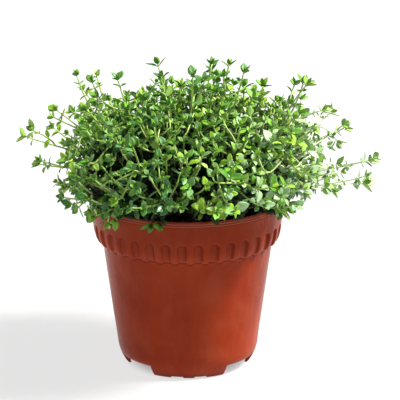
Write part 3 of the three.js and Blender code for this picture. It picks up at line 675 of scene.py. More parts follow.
# ------------------------------------------------------------------ thyme
# Main stems as in the frame: rooting point [x, y], two bend points and the tip of a cubic curve.
STEMS = [
    (-29.8, 9.3, -34.4, 8.8, 130.6, -65.9, 3.4, 146.7, -75.3, 4, 180.5),
    (-37.6, -1.5, -49.1, -7.8, 119.6, -65.1, 7.8, 106.6, -89, 12, 112.4),
    (-46.5, 21.1, -52, 21.7, 137.4, -69.1, 18.8, 140.6, -92.3, 26, 150.9),
    (-17.6, 2.1, -18.3, 2.5, 133.2, -17, 3.1, 154.5, -25.4, 6, 186.4),
    (-39.2, 8.4, -41.7, 11, 127.3, -57, 29.7, 142.9, -64.2, 34, 172.8),
    (-37.7, 24.1, -42.2, 27.1, 123.4, -61.1, 38.5, 115.2, -75.5, 48.8, 122.6),
    (-28.5, 21.8, -31.4, 27.7, 136.1, -38.9, 49.6, 137.2, -52.5, 71.1, 147.9),
    (-13.8, 34.9, -16, 43.6, 123.5, -41.3, 66, 113.6, -52.4, 85.2, 119.2),
    (-23.7, 34.6, -26.3, 41.6, 122.5, -22, 75.1, 103.3, -23.1, 99, 112.2),
    (-4.1, 25.7, -4.9, 29.4, 122.4, -11.7, 54.6, 134.5, -12.3, 62, 160.9),
    (-16.8, 29, -16.3, 36.5, 128.8, -11.1, 66.8, 123, -12.3, 91.1, 133.2),
    (0.7, 33.9, 1.9, 38.8, 117, 11.4, 76.2, 122.6, 13.1, 83.2, 148.4),
    (7.5, 34.4, 9.2, 41, 117.8, 15.4, 75.6, 112.3, 21.7, 93.4, 113.9),
    (1.4, 18.2, 3, 20.4, 129.8, 12.9, 32.8, 147.9, 17.5, 40, 178.5),
    (8.4, 24.6, 12.7, 29.6, 134.2, 29.1, 47.4, 133.7, 44.2, 66.9, 144.1),
    (26.5, 20.7, 30, 23.7, 120.4, 44.9, 54.7, 109.3, 62.4, 70.3, 115.5),
    (-0.5, 8.9, 0.2, 9.4, 132.7, 0.3, 7.9, 153.6, 6.7, 14, 185.1),
    (17.1, 21.4, 23.5, 24.8, 129.1, 50, 36.9, 123.9, 70.2, 49.7, 133.9),
    (29.8, 7.5, 33.1, 10.9, 120.1, 56.9, 37.7, 128.9, 63.5, 41.6, 156.1),
    (13, 10.9, 15.5, 12, 125.9, 31.5, 18.7, 141.6, 38.5, 22, 169.2),
    (21.7, 3.8, 30.5, 8.3, 119.1, 66, 14.3, 107, 81.8, 22, 106.4),
    (23.4, 14.4, 31.4, 14.9, 135, 62.8, 12.9, 134, 90.4, 18, 145.8),
    (23.2, -3.7, 27.2, -3.1, 128.6, 53.9, 1.7, 144.4, 62.7, 2, 175.9),
    (32.5, -2, 41.5, -2.2, 128.1, 79.5, -3, 120.5, 107.4, -4, 132.3),
    (30.2, -20.5, 38.4, -22.3, 122, 74.5, -20.1, 116.4, 101, -30, 127.9),
    (24, -24.4, 29.9, -25.1, 146.6, 45.5, -19.6, 156.7, 73.7, -30, 169.3),
    (8.3, -1.7, 10.1, -3.1, 133.5, 17.7, -12, 154.1, 26, -16, 187.1),
    (23.9, -18.8, 34.3, -19.3, 121.7, 52.4, -27.1, 112.7, 49.4, -30, 105),
    (30.2, -14, 36.9, -13.3, 143.4, 42, -42.9, 137, 64.2, -60, 152.2),
    (8.1, -32.5, 13.9, -37.7, 123.1, 41.4, -57.7, 112.2, 56.6, -75.6, 122),
    (1.7, -25.8, 3.9, -28.9, 123.7, 19.9, -49.7, 136.7, 23.6, -56.4, 164.2),
    (-1.6, -34.6, 1.6, -40.4, 131.5, 16.7, -61.2, 128.9, 25.6, -83.1, 138.9),
    (-7.6, -47, -3.6, -52.7, 126.9, 6.5, -62.6, 123.5, 8.2, -70, 116),
    (-11, -17.7, -10.3, -19.3, 134.2, -5.3, -24.7, 155.6, -4.4, -34, 188.9),
    (-21, -35.9, -19.6, -40.9, 118.5, -7.8, -77.6, 125.3, -7.8, -85.1, 152.1),
    (-18.7, -46.3, -21.9, -50.9, 131.8, -17.3, -75.4, 119, -20.6, -99, 128.4),
    (-7.6, -34.7, -14.5, -36.2, 124.4, -25.3, -54.3, 117.7, -28.9, -64, 107.4),
    (-7.8, -26.6, -9.7, -29.7, 123.7, -24.8, -50.3, 136.8, -27.2, -57.5, 164),
    (-30.2, -34.1, -31.6, -39.7, 135, -32.3, -58.9, 136.1, -41.2, -80.5, 146),
    (-18.2, -27.7, -18.3, -37.1, 119, -42.5, -48.6, 114.6, -54.9, -68.8, 127.4),
    (-33.2, -23.4, -37.2, -24.9, 120.9, -54.6, -46.7, 118.2, -55.9, -45, 103.1),
    (-27.3, -13.3, -31.9, -17.9, 141, -45.3, -33.5, 145.9, -66, -52, 157.5),
    (-38, -28.2, -43.3, -31.1, 122.4, -67, -41.4, 112.8, -82.6, -52.3, 120.8),
    (-27.5, -4.1, -29.6, -5.9, 132.2, -41.2, -17.7, 151.6, -49.3, -22, 184.2),
    (-44.9, -8.2, -48.9, -10.1, 145.3, -52.4, -15.3, 155.2, -77.9, -24, 166.5),
    (-40, -19, -48.7, -19.7, 121.7, -67.6, -19.6, 113.1, -75.1, -22, 105.3),
    (-36, -10.4, -43.4, -12.3, 130.3, -73, -19, 125.7, -97.1, -26, 136.3),
    (-48.6, 8.1, -55.7, 6.4, 135.4, -81.2, -4.4, 135.6, -107.9, -6, 146.8),
]

# The frame's own side shoots: [sprig, fraction along its stem, tip x, y, z].
SHOOTS = [
    (0, 0.536, -65.6, 18.9, 160.2), (0, 0.734, -66.2, -5.7, 181.2), (1, 0.515, -85.6, -2.8, 114.8),
    (1, 0.74, -82.7, 19, 106.7), (2, 0.519, -80.1, 35.8, 150.9), (2, 0.744, -89.7, 17.2, 157.6),
    (3, 0.539, -33.9, 10.1, 167.1), (3, 0.751, -23.9, -8, 184.6), (4, 0.523, -50.9, 24.9, 160.6),
    (4, 0.726, -73.2, 25.2, 169.1), (5, 0.517, -77.7, 38.5, 114.1), (5, 0.663, -75.5, 42.8, 134.8),
    (6, 0.539, -47.8, 51, 156.5), (6, 0.768, -40.1, 74.5, 152), (7, 0.537, -37.8, 80.7, 128.8),
    (7, 0.767, -60.3, 77.3, 115.6), (8, 0.497, -36.5, 82.6, 107.7), (8, 0.772, -14.1, 96.4, 105.7),
    (9, 0.539, -17.5, 66.5, 140.7), (9, 0.707, 1.4, 61.6, 160.2), (10, 0.536, -22.1, 79.7, 123.4),
    (10, 0.776, -15.9, 87.1, 142.6), (11, 0.539, 3.6, 85.2, 127.2), (11, 0.777, 23.9, 80.8, 145.6),
    (12, 0.524, 27.7, 81.5, 110.6), (12, 0.778, 13.5, 94.6, 110.6), (13, 0.529, 20.7, 45.6, 155.6),
    (13, 0.756, 7.4, 35.7, 179.5), (14, 0.534, 34.3, 49, 154.2), (14, 0.761, 55.2, 58.3, 138.8),
    (15, 0.513, 63.2, 52.9, 114.8), (15, 0.772, 53.4, 73.7, 110.8), (16, 0.538, 10.2, 20.6, 167.3),
    (16, 0.733, 9.6, -0.9, 183.5), (17, 0.517, 64.6, 38.4, 121.2), (17, 0.773, 69.8, 43.6, 137.6),
    (18, 0.532, 66.4, 28.6, 142.6), (18, 0.702, 56.8, 41.4, 157.5), (19, 0.54, 25.8, 29.9, 158.2),
    (19, 0.722, 32.5, 10, 171.1), (20, 0.397, 61.6, 15.8, 122), (20, 0.703, 82.6, 10, 107.6),
    (21, 0.54, 69.8, 2.9, 148.2), (21, 0.748, 82.1, 27.2, 153.5), (22, 0.537, 49, -8.9, 162.1),
    (22, 0.773, 58.6, 16.2, 174.2), (23, 0.54, 88.2, 8, 119.7), (23, 0.763, 104, -12.5, 132.9),
    (24, 0.539, 79.9, -35.3, 129.2), (24, 0.734, 99.8, -18.3, 120.3), (25, 0.533, 55.9, -37.5, 165.8),
    (25, 0.731, 64.4, -25.2, 183.7), (26, 0.533, 27.7, -2.2, 167.5), (26, 0.741, 14.2, -14.4, 186.7),
    (27, 0.535, 52.9, -44, 109.8), (28, 0.519, 58.7, -41.1, 151.6), (28, 0.748, 53.8, -59.7, 163),
    (29, 0.538, 39.3, -74.7, 125.8), (29, 0.733, 61.7, -64.8, 129.5), (30, 0.532, 12.5, -47.1, 156.7),
    (30, 0.766, 21.5, -68.4, 155.7), (31, 0.537, 11.5, -73.2, 146.4), (31, 0.774, 33.6, -76, 142.8),
    (32, 0.56, 2.9, -82.3, 120.4), (33, 0.535, -15.9, -19.6, 171.6), (33, 0.776, 2.6, -26.8, 186.9),
    (34, 0.537, -22, -80.5, 141.5), (34, 0.765, -6.2, -96.4, 139.3), (35, 0.538, -32.8, -90, 124.6),
    (35, 0.699, -20.2, -94.9, 138.5), (36, 0.68, -23.3, -67.5, 108), (37, 0.537, -15.5, -47.7, 158.3),
    (37, 0.771, -36.7, -62.5, 156.4), (38, 0.54, -48, -73, 140.7), (38, 0.76, -39.9, -74.8, 157.8),
    (39, 0.531, -43.4, -67.6, 120.1), (39, 0.778, -62.7, -60.9, 118.8), (40, 0.664, -50.7, -54.6, 107.2),
    (41, 0.518, -56.1, -29.4, 161.1), (41, 0.757, -57.9, -55.1, 163), (42, 0.537, -82.2, -37.5, 122.4),
    (42, 0.775, -77.1, -60.3, 118.7), (43, 0.521, -44.4, -8.6, 165.3), (43, 0.778, -61.6, -25.6, 176.5),
    (44, 0.52, -72, -9.9, 164.4), (44, 0.746, -68.7, -35.7, 171.2), (45, 0.667, -81.8, -21.6, 118),
    (46, 0.539, -79.9, -18.3, 145.9), (46, 0.762, -99, -15.6, 131.4), (47, 0.535, -91.5, 6.8, 148.9),
    (47, 0.771, -102.3, -15.9, 153.1),
]

# Long pale stems that run over the mound's front before they turn up: points from low to tip.
OVER = [
    ((-57.4, -57.4, 126.1), (-63.1, -55.5, 129.9), (-68.3, -47.2, 131.3), (-73.3, -34.8, 134.2), (-76.1, -25.0, 135.4)),
    ((-42.1, -70.2, 129.0), (-47.1, -70.5, 132.2), (-51.4, -65.5, 134.8), (-56.6, -57.2, 138.7), (-59.6, -51.6, 140.6)),
    ((-40.1, -62.2, 142.9), (-43.7, -61.4, 146.4), (-46.8, -55.0, 149.0), (-49.7, -44.4, 153.0), (-52.8, -32.8, 155.6)),
    ((-61.9, -35.6, 143.2), (-65.7, -32.3, 146.1), (-68.6, -19.6, 147.5), (-71.0, 17.4, 148.5), (-71.4, 21.6, 154.5)),
    ((15.8, -83.2, 124.7), (13.7, -86.8, 130.0), (11.9, -85.0, 135.0), (10.5, -82.7, 139.3), (9.9, -80.2, 142.9)),
    ((-30.7, -49.7, 155.6), (-31.0, -49.1, 159.2), (-32.1, -39.7, 162.4), (-32.9, -28.4, 165.1), (-33.8, -11.9, 167.3)),
    ((-23.8, -76.0, 136.8), (-24.1, -77.8, 141.0), (-24.7, -73.2, 145.9), (-25.1, -68.2, 150.0), (-26.3, -62.7, 153.5)),
    ((-17.5, -48.4, 159.6), (-17.8, -47.3, 163.1), (-18.9, -34.9, 166.8), (-19.6, -20.5, 169.4), (-21.0, -2.2, 170.6)),
    ((-8.5, -52.8, 158.9), (-7.3, -52.1, 162.4), (-5.8, -44.4, 165.4), (-3.8, -34.1, 168.4), (-2.0, -24.5, 170.4)),
    ((25.5, -60.1, 152.2), (27.9, -57.0, 156.9), (29.8, -49.6, 160.0), (30.6, -40.3, 163.2), (30.1, -31.0, 165.8)),
    ((40.3, -67.7, 138.2), (36.6, -70.4, 143.9), (34.9, -67.0, 147.9), (34.4, -61.0, 152.4), (35.1, -55.6, 155.3)),
    ((-2.5, -77.5, 140.9), (-0.7, -78.4, 145.4), (-0.1, -74.5, 149.3), (-0.7, -69.9, 153.0), (-1.9, -65.2, 156.0)),
    ((53.7, -56.9, 137.7), (58.6, -55.0, 140.9), (61.8, -48.4, 142.9), (65.7, -41.4, 143.5), (70.2, -32.8, 143.1)),
    ((-50.0, -25.7, 155.7), (-50.6, -24.3, 159.1), (-52.3, -9.5, 160.4), (-54.6, 24.7, 157.0), (-56.5, 27.5, 161.5)),
    ((-46.0, -50.0, 111.8), (-49.6, -50.5, 113.5), (-53.3, -49.0, 113.7), (-58.3, -43.0, 111.0), (-62.9, -35.0, 106.8), (-67.6, -26.0, 102.3)),
    ((55.8, -34.0, 127.7), (60.7, -33.0, 124.3), (65.7, -31.0, 121.2), (70.7, -28.0, 119.1), (74.5, -26.0, 117.9)),
    ((55.6, -40.0, 130.6), (59.8, -42.0, 128.0), (62.5, -43.0, 124.5), (63.4, -43.5, 121.5)),
    ((58.5, -20.0, 144.1), (64.7, -16.0, 151.3), (67.9, -13.0, 154.6), (71.7, -9.0, 159.0), (76.1, -5.0, 162.4)),
    ((63.7, -14.0, 140.0), (69.4, -10.0, 141.5), (75.0, -6.0, 144.3), (82.0, -2.0, 148.3), (88.2, 1.0, 151.7)),
    ((67.9, -12.0, 153.4), (72.2, -12.0, 155.3), (77.1, -13.0, 153.4), (81.4, -14.0, 150.2), (83.8, -15.0, 146.0)),
    ((13.1, -46.0, 124.7), (15.5, -52.0, 121.4), (17.9, -57.0, 117.8), (19.7, -60.0, 115.6), (21.4, -62.0, 113.0)),
    ((7.1, -48.0, 124.1), (9.5, -54.0, 120.7), (11.3, -58.0, 117.5), (11.8, -61.0, 115.2)),
    ((41.1, -40.0, 125.6), (44.0, -43.0, 121.4), (46.4, -45.0, 117.6), (48.3, -46.0, 114.1)),
    ((58.4, -28.0, 132.4), (64.6, -24.0, 133.2), (71.5, -20.0, 132.7), (77.8, -17.0, 132.6), (84.1, -14.0, 131.1)),
    ((59.8, -22.0, 137.1), (66.0, -18.0, 137.3), (72.3, -14.0, 139.4), (78.0, -10.0, 142.1)),
]

# How each sprig grows: u up out of the mound, o outwards, h hanging over the rim.
HABIT = "uoouuoooouououoououuoouooouhoouohuuohuoohoouohoo"

STEM_R = 0.78
CENTRE = np.array([-3.0, 0.0, 121.0])
UP = np.array([0.0, 0.0, 1.0])

# Outline of the thick of the foliage as the camera sees it, in its 400 x 400 view,
# from the rim's left end over the top to its right end and back along the rim.
OUTLINE = np.array([
    (92, 220), (88, 211), (82, 202), (75, 193), (71, 182), (70, 168), (69, 156), (70, 146), (74, 134), (79, 125),
    (88, 117), (94, 109), (101, 102), (106, 95), (115, 90), (126, 86), (140, 88), (152, 85), (166, 84), (178, 90),
    (192, 88), (206, 83), (219, 84), (232, 84), (244, 86), (252, 92), (262, 98), (270, 103), (281, 107), (290, 111),
    (298, 116), (301, 126), (306, 136), (311, 145), (315, 155), (318, 165), (324, 172), (326, 179), (314, 183),
    (300, 187), (290, 194), (286, 203), (284, 212), (280, 220),
    (276, 212), (262, 207), (250, 207), (236, 211), (222, 213), (200, 212), (172, 212), (158, 217), (140, 219),
    (120, 217), (104, 219)], float)

# Lowest row that foliage standing in front of the rim may reach, across the view.
HEM_X = [60, 84, 100, 112, 122, 136, 150, 160, 168, 200, 216, 222, 248, 254, 262, 276, 290, 400]
HEM_Y = [400, 240, 226, 224, 219, 223, 224, 221, 215, 214, 215, 221, 220, 212, 214, 217, 226, 400]


# Places in the view where the mound is open and its dark inside shows: middle and half sizes.
HOLLOWS = ((141, 154, 13, 8), (174, 168, 10, 8), (196, 214, 13, 5), (228, 155, 12, 8), (224, 183, 9, 7),
           (152, 186, 8, 6), (95, 191, 11, 8), (198, 190, 7, 6), (165, 132, 6, 6), (254, 204, 7, 4), (160, 205, 9, 4),
           (262, 190, 8, 6), (206, 172, 7, 6), (244, 192, 7, 5), (277, 168, 7, 5), (186, 148, 6, 5), (116, 160, 6, 5))


def in_hollow(p):
    """Up to 1 in the middle of an opening on the side of the mound that is seen."""
    if p[1] > 5:
        return 0.0
    x, y = seen_at(p)
    return max(float(smooth(1.25, 0.55, math.hypot((x - a) / c, (y - b) / d))) for a, b, c, d in HOLLOWS)


def in_outline(p):
    x, y = p
    inside = False
    n = len(OUTLINE)
    j = n - 1
    for i in range(n):
        xi, yi = OUTLINE[i]
        xj, yj = OUTLINE[j]
        if (yi > y) != (yj > y) and x < (xj - xi) * (y - yi) / (yj - yi) + xi:
            inside = not inside
        j = i
    return inside


def outline_gap(p):
    """Distance in the view from p to the outline."""
    a, b = OUTLINE, np.roll(OUTLINE, -1, 0)
    d = b - a
    t = np.clip(((p - a) * d).sum(1) / (d * d).sum(1), 0, 1)
    return float(np.min(np.hypot(*(a + d * t[:, None] - p).T)))


class Path:
    """A curve as many short straight steps, read by fraction of its length."""

    def __init__(self, points):
        self.p = np.asarray(points, float)
        step = np.linalg.norm(np.diff(self.p, axis=0), axis=1)
        self.s = np.concatenate([[0], np.cumsum(step)])
        self.length = float(self.s[-1])

    def at(self, f):
        d = np.clip(f, 0, 1) * self.length
        return np.array([np.interp(d, self.s, self.p[:, k]) for k in range(3)])

    def along(self, f):
        e = 0.6 / max(self.length, 1.0)
        return unit(self.at(min(f + e, 1)) - self.at(max(f - e, 0)))


def cubic(a, b, c, d, n=40):
    t = np.linspace(0, 1, n + 1)[:, None]
    return ((1 - t) ** 3) * a + 3 * ((1 - t) ** 2) * t * b + 3 * (1 - t) * t * t * c + (t ** 3) * d


def quadratic(a, b, c, n=16):
    t = np.linspace(0, 1, n + 1)[:, None]
    return ((1 - t) ** 2) * a + 2 * (1 - t) * t * b + t * t * c


class Shoot:
    def __init__(self, path, r0, r1, rank, over=False):
        self.path, self.r0, self.r1, self.rank, self.over = path, r0, r1, rank, over
        self.nodes = []


def rounded(points, times=3):
    """Cuts the corners of a line of points until it is a smooth curve."""
    p = np.asarray(points, float)
    for _ in range(times):
        q = [p[0]]
        for a, b in zip(p[:-1], p[1:]):
            q += [a * 0.75 + b * 0.25, a * 0.25 + b * 0.75]
        q.append(p[-1])
        p = np.array(q)
    return p


class Sprig:
    def __init__(self, k, row):
        self.k = k
        bx, by, ax, ay, az, cx, cy, cz, tx, ty, tz = row
        z0 = float(soil_z(bx, by))
        lean = unit((ax - bx, ay - by, az - z0))
        root = np.array([bx, by, z0 + 0.3 + STEM_R * math.hypot(lean[0], lean[1])])
        pts = cubic(root, np.array([ax, ay, az]), np.array([cx, cy, cz]), np.array([tx, ty, tz]))
        self.habit = HABIT[k]
        if self.habit == "u":
            pts = np.vstack([pts, pts[-1] + unit(pts[-1] - pts[-3]) * 2.6])
        self.stem = Path(pts)
        self.shoots = []
        self.box = None
        self.load = 0.0


def grow_sprigs():
    sprigs = [Sprig(k, row) for k, row in enumerate(STEMS)]
    for s in sprigs:
        lo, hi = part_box("sprig_%02d" % (s.k + 1))
        s.box = np.array(lo) / MM, np.array(hi) / MM
    for k, t, x, y, z in SHOOTS:
        s = sprigs[int(k)]
        # the frame's stalk is straight between its five steps, so the shoot starts from there
        knots = [s.stem.at(i / 5) for i in range(6)]
        i = min(int(t * 5), 4)
        start = knots[i] + (knots[i + 1] - knots[i]) * (t * 5 - i)
        along = unit(knots[i + 1] - knots[i])
        end = np.array([x, y, z])
        a = float(np.dot(end - start, along))
        side = (end - start) - along * a
        bend = start + along * 0.25 * a + side * 0.7
        s.shoots.append(Shoot(Path(quadratic(s.stem.at(t), bend, end)), 0.52, 0.34, 0))
        s.load += 1
    return sprigs


def blocked_by_pot(p):
    """True for a point in or hard against the pot or the soil."""
    r = math.hypot(p[0] - POT_X, p[1])
    if p[2] < 108.2 and 55.0 < r < 62.0 + 0.0 * p[2]:
        return True
    if p[2] < 80 and r < 62:
        return True
    return r < 56 and p[2] < float(soil_z(p[0], p[1])) + 1.0


def veils_pot(p, spare=0.0):
    """True for a point that would hide more of the pot's front than the plant does."""
    if p[1] > -25:
        return False
    x, y = seen_at(p)
    return y > np.interp(x, HEM_X, HEM_Y) + spare


def out_of_mound(p):
    """About 1 on the mound's surface, more further out."""
    d = (np.asarray(p) - CENTRE) / (84.0, 88.0, 49.0 if p[2] > CENTRE[2] else 30.0)
    return float(np.linalg.norm(d))


def depth_in_mound(p):
    """0 on the mound's surface, 1 well inside it or low down in it."""
    d = out_of_mound(p) + 0.045 * float(waves(p, 77, 4, 0.02, 0.07))
    low = float(smooth(150.0, 112.0, p[2]))
    return float(np.clip(smooth(0.955 + 0.045 * low, 0.78 + 0.07 * low, d) * (0.82 + 0.18 * low), 0, 1))


def add_shoots(sprigs, rng):
    """Side shoots until the mound is full: tips kept apart on three shells, each fed from the
    stem that can best reach it."""
    tips = [s.stem.p[-1] for s in sprigs] + [h.path.p[-1] for s in sprigs for h in s.shoots]
    fr = np.linspace(0.26, 0.95, 24)
    P = np.array([[s.stem.at(f) for f in fr] for s in sprigs])
    A = np.array([[s.stem.along(f) for f in fr] for s in sprigs])
    used = np.zeros(P.shape[:2])
    lo = np.array([s.box[0] for s in sprigs])
    hi = np.array([s.box[1] for s in sprigs])
    centre = CENTRE
    for row in OVER:
        low, tip = np.array(row[0]), np.array(row[-1])
        v = low - P
        L = np.linalg.norm(v, axis=2)
        cos = (v * A).sum(2) / L
        out = np.maximum(np.maximum(lo - tip, tip - hi), 0).max(1)
        bent = 1 - (v * unit(np.array(row[1]) - low)).sum(2) / L
        cost = ((L - 20) / 12) ** 2 + 2.0 * (1 - cos) + 3.0 * bent + used * 2.0 + ((out / 7.0)[:, None]) ** 2
        cost[out > 16] = 1e9
        a, b = np.unravel_index(np.argmin(cost), cost.shape)
        s = sprigs[a]
        bend = P[a, b] + A[a, b] * L[a, b] * 0.3
        s.shoots.append(Shoot(Path(rounded([P[a, b], bend] + [np.array(q) for q in row])), 0.58, 0.44, 0, True))
        s.load += 1
        used[a] += np.exp(-np.abs(np.arange(len(fr)) - b) ** 2 / 3.0)
        tips.append(tip)
    for shell, apart, tries, margin in ((1.0, 8.8, 12000, 3.0), (0.86, 8.8, 10000, 5.0), (0.70, 9.6, 7000, 6.0), (0.54, 10.5, 5000, 8.0)):
        grid = np.array(tips)
        for _ in range(tries):
            d = rng.normal(size=3)
            d /= np.linalg.norm(d)
            if d[2] < -0.42:
                continue
            size = np.array([84.0, 88.0, 49.0 if d[2] > 0 else 30.0])
            loose = shell > 0.93 and d[2] > 0.05 and rng.random() < 0.24
            t = centre + d * size * (shell + (rng.uniform(0.04, 0.15) if loose else rng.uniform(-0.055, 0.03)))
            clump = float(waves(t, 12, 5, 0.016, 0.036))
            gap = apart * (0.80 if shell < 0.9 and t[0] < -45 else 1.0) * (1 + 0.16 * clump + (0.55 * max(clump - 0.25, 0.0) if shell > 0.8 else 0.0))
            if np.min(((grid - t) ** 2).sum(1)) < gap * gap:
                continue
            r = math.hypot(t[0] - POT_X, t[1])
            if t[2] < (float(soil_z(t[0], t[1])) + 9 if r < 54 else (113.0 if r < 66 else 99.0)):
                continue
            if blocked_by_pot(t) or veils_pot(t - (0, 0, 3.0)):
                continue
            if shell > 0.66 and rng.random() < 0.9 * in_hollow(t):
                continue
            q = seen_at(t)
            if loose:
                if not in_outline(q) and outline_gap(q) > 7.0:
                    continue
            elif not in_outline(q) or outline_gap(q) < margin:
                continue
            v = t - P
            L = np.linalg.norm(v, axis=2)
            cos = (v * A).sum(2) / L
            cost = ((L - 25) / 13) ** 2 + 2.6 * (1 - cos) + used * 0.9
            cost = cost + np.array([s.load for s in sprigs])[:, None] * 0.10
            out = np.maximum(np.maximum(lo - t, t - hi), 0).max(1)
            cost = cost + (out / 6.0)[:, None] ** 2
            cost[(L < 11) | (L > 52) | (cos < 0.22)] = 1e9
            cost[out > 16] = 1e9
            a, b = np.unravel_index(np.argmin(cost), cost.shape)
            if cost[a, b] > 9:
                continue
            s = sprigs[a]
            p0, al, ln = P[a, b], A[a, b], L[a, b]
            go = unit(t - p0)
            side = unit(go - al * float(np.dot(go, al)) + rng.normal(size=3) * 0.05)
            outward = unit((t - centre) / size ** 2)
            d0 = unit(al * 0.75 + side * 0.75)
            d1 = unit(outward * 0.75 + UP * 0.55 + go * 0.6 + rng.normal(size=3) * 0.12)
            pts = cubic(p0, p0 + d0 * ln * 0.38, t - d1 * ln * 0.36, t, 16)
            if any(blocked_by_pot(p) for p in pts[3:]):
                continue
            s.shoots.append(Shoot(Path(pts), 0.50, 0.32, 1 if shell > 0.93 else 2))
            s.load += 1
            near = np.abs(np.arange(len(fr)) - b)
            used[a] += np.exp(-near ** 2 / 3.0)
            grid = np.vstack([grid, t])
            tips.append(t)
    return len(tips)


class Space:
    """Points already taken by leaves and stalks, in cells."""

    def __init__(self, cell=2.4):
        self.cell, self.map = cell, {}

    def add(self, p, owner):
        key = (int(p[0] // self.cell), int(p[1] // self.cell), int(p[2] // self.cell))
        self.map.setdefault(key, []).append((p[0], p[1], p[2], owner))

    def clear(self, p, near, owner):
        c = self.cell
        x, y, z = p
        n2 = near * near
        for i in range(int((x - near) // c), int((x + near) // c) + 1):
            for j in range(int((y - near) // c), int((y + near) // c) + 1):
                for k in range(int((z - near) // c), int((z + near) // c) + 1):
                    for a, b, d, o in self.map.get((i, j, k), ()):
                        if o != owner and (a - x) ** 2 + (b - y) ** 2 + (d - z) ** 2 < n2:
                            return False
        return True


LEAF_POINTS = ((0.30, 0.0), (0.5, 0.0), (0.72, 0.0), (0.95, 0.0), (0.45, 0.72), (0.45, -0.72), (0.7, 0.55), (0.7, -0.55))


class Leaves:
    """All the leaves, kept as rows of numbers until the meshes are made."""

    def __init__(self, rng):
        self.rng, self.space, self.rows = rng, Space(), {}
        self.luck = np.random.default_rng(915)
        self.asked = self.put = 0

    def points(self, at, x, y, z, L, W, bend):
        out = []
        for u, v in LEAF_POINTS:
            out.append(at + x * (L * u) - z * (L * bend * 0.5 * u * u) + y * (v * W * 0.5))
        return out

    def fits(self, pts, owner, near, spare=0.0):
        for p in pts:
            if blocked_by_pot(p) or veils_pot(p, spare) or not self.space.clear(p, near, owner):
                return False
        return True

    def place(self, sprig, at, x, face, L, W, age, fold=0.25, bend=0.3, near=1.25, owner=None, must=False, fine=True, spare=0.0):
        """Adds one leaf, turned a little if its first place is taken. True if it went in."""
        rng = self.rng
        self.asked += 1
        end = at + unit(x) * (L * 0.6)
        if out_of_mound(end) > 0.70 and self.luck.random() < 0.85 * in_hollow(end):
            return False
        x0, f0 = unit(x), unit(face)
        for go in range(7):
            if go:
                a, b = rng.normal(0, 0.16 + 0.09 * go, 2)
                xx = unit(turned(turned(x0, f0, a), unit(np.cross(f0, x0)), b))
                size = 1.0 - 0.05 * go
            else:
                xx, size = x0, 1.0
            y = unit(np.cross(f0, xx))
            z = np.cross(xx, y)
            pts = self.points(at, xx, y, z, L * size, W * size, bend)
            if self.fits(pts, owner, near if go < 5 else near * 0.8, spare):
                break
        else:
            if not must or any(blocked_by_pot(p) for p in pts) or veils_pot(pts[3], spare):
                return False
        for p in pts:
            self.space.add(p, owner)
        self.rows.setdefault(sprig, []).append(
            np.concatenate([at, xx, y, z, [L * size, W * size, fold, bend, age, rng.random(), rng.random(), 1.0 if fine else 0.0]]))
        self.put += 1
        return True


def leaf_grid(us, around):
    """Leaf surface as rows of rings: u per row; v and under per point of the ring."""
    if around == 8:
        v = np.array([-1, -0.52, 0, 0.52, 1, 0.52, 0, -0.52])
        low = np.array([0.5, 0, 0, 0, 0.5, 1, 1, 1])
    else:
        v = np.array([-1, -0.4, 0.4, 1, 0.4, -0.4])
        low = np.array([0.5, 0, 0, 0.5, 1, 1])
    nr, nv = len(us), len(v)
    idx = np.arange(nr * nv).reshape(nr, nv)
    faces = []
    for i in range(nr - 1):
        for j in range(nv):
            k = (j + 1) % nv
            faces.append((idx[i, j], idx[i + 1, j], idx[i + 1, k], idx[i, k]))
    h = nv // 2
    for i, flip in ((0, True), (nr - 1, False)):
        for j in range(h - 1):
            f = (idx[i, j], idx[i, (nv - j) % nv], idx[i, nv - j - 1], idx[i, j + 1])
            if j == 0:
                f = (idx[i, 0], idx[i, nv - 1], idx[i, 1])
            faces.append(f if not flip else tuple(reversed(f)))
        f = (idx[i, h - 1], idx[i, h + 1], idx[i, h])
        faces.append(f if not flip else tuple(reversed(f)))
    return np.array(us), v, low, faces


LEAF_FINE = leaf_grid([0, 0.10, 0.17, 0.27, 0.40, 0.56, 0.72, 0.86, 0.955, 1.0], 8)
LEAF_PLAIN = leaf_grid([0, 0.13, 0.30, 0.52, 0.78, 1.0], 6)
HALF_U = [0, 0.10, 0.15, 0.20, 0.27, 0.36, 0.47, 0.58, 0.70, 0.80, 0.89, 0.96, 1.0]
HALF_W = [0.12, 0.10, 0.25, 0.52, 0.78, 0.94, 1.00, 0.95, 0.81, 0.62, 0.38, 0.17, 0.03]


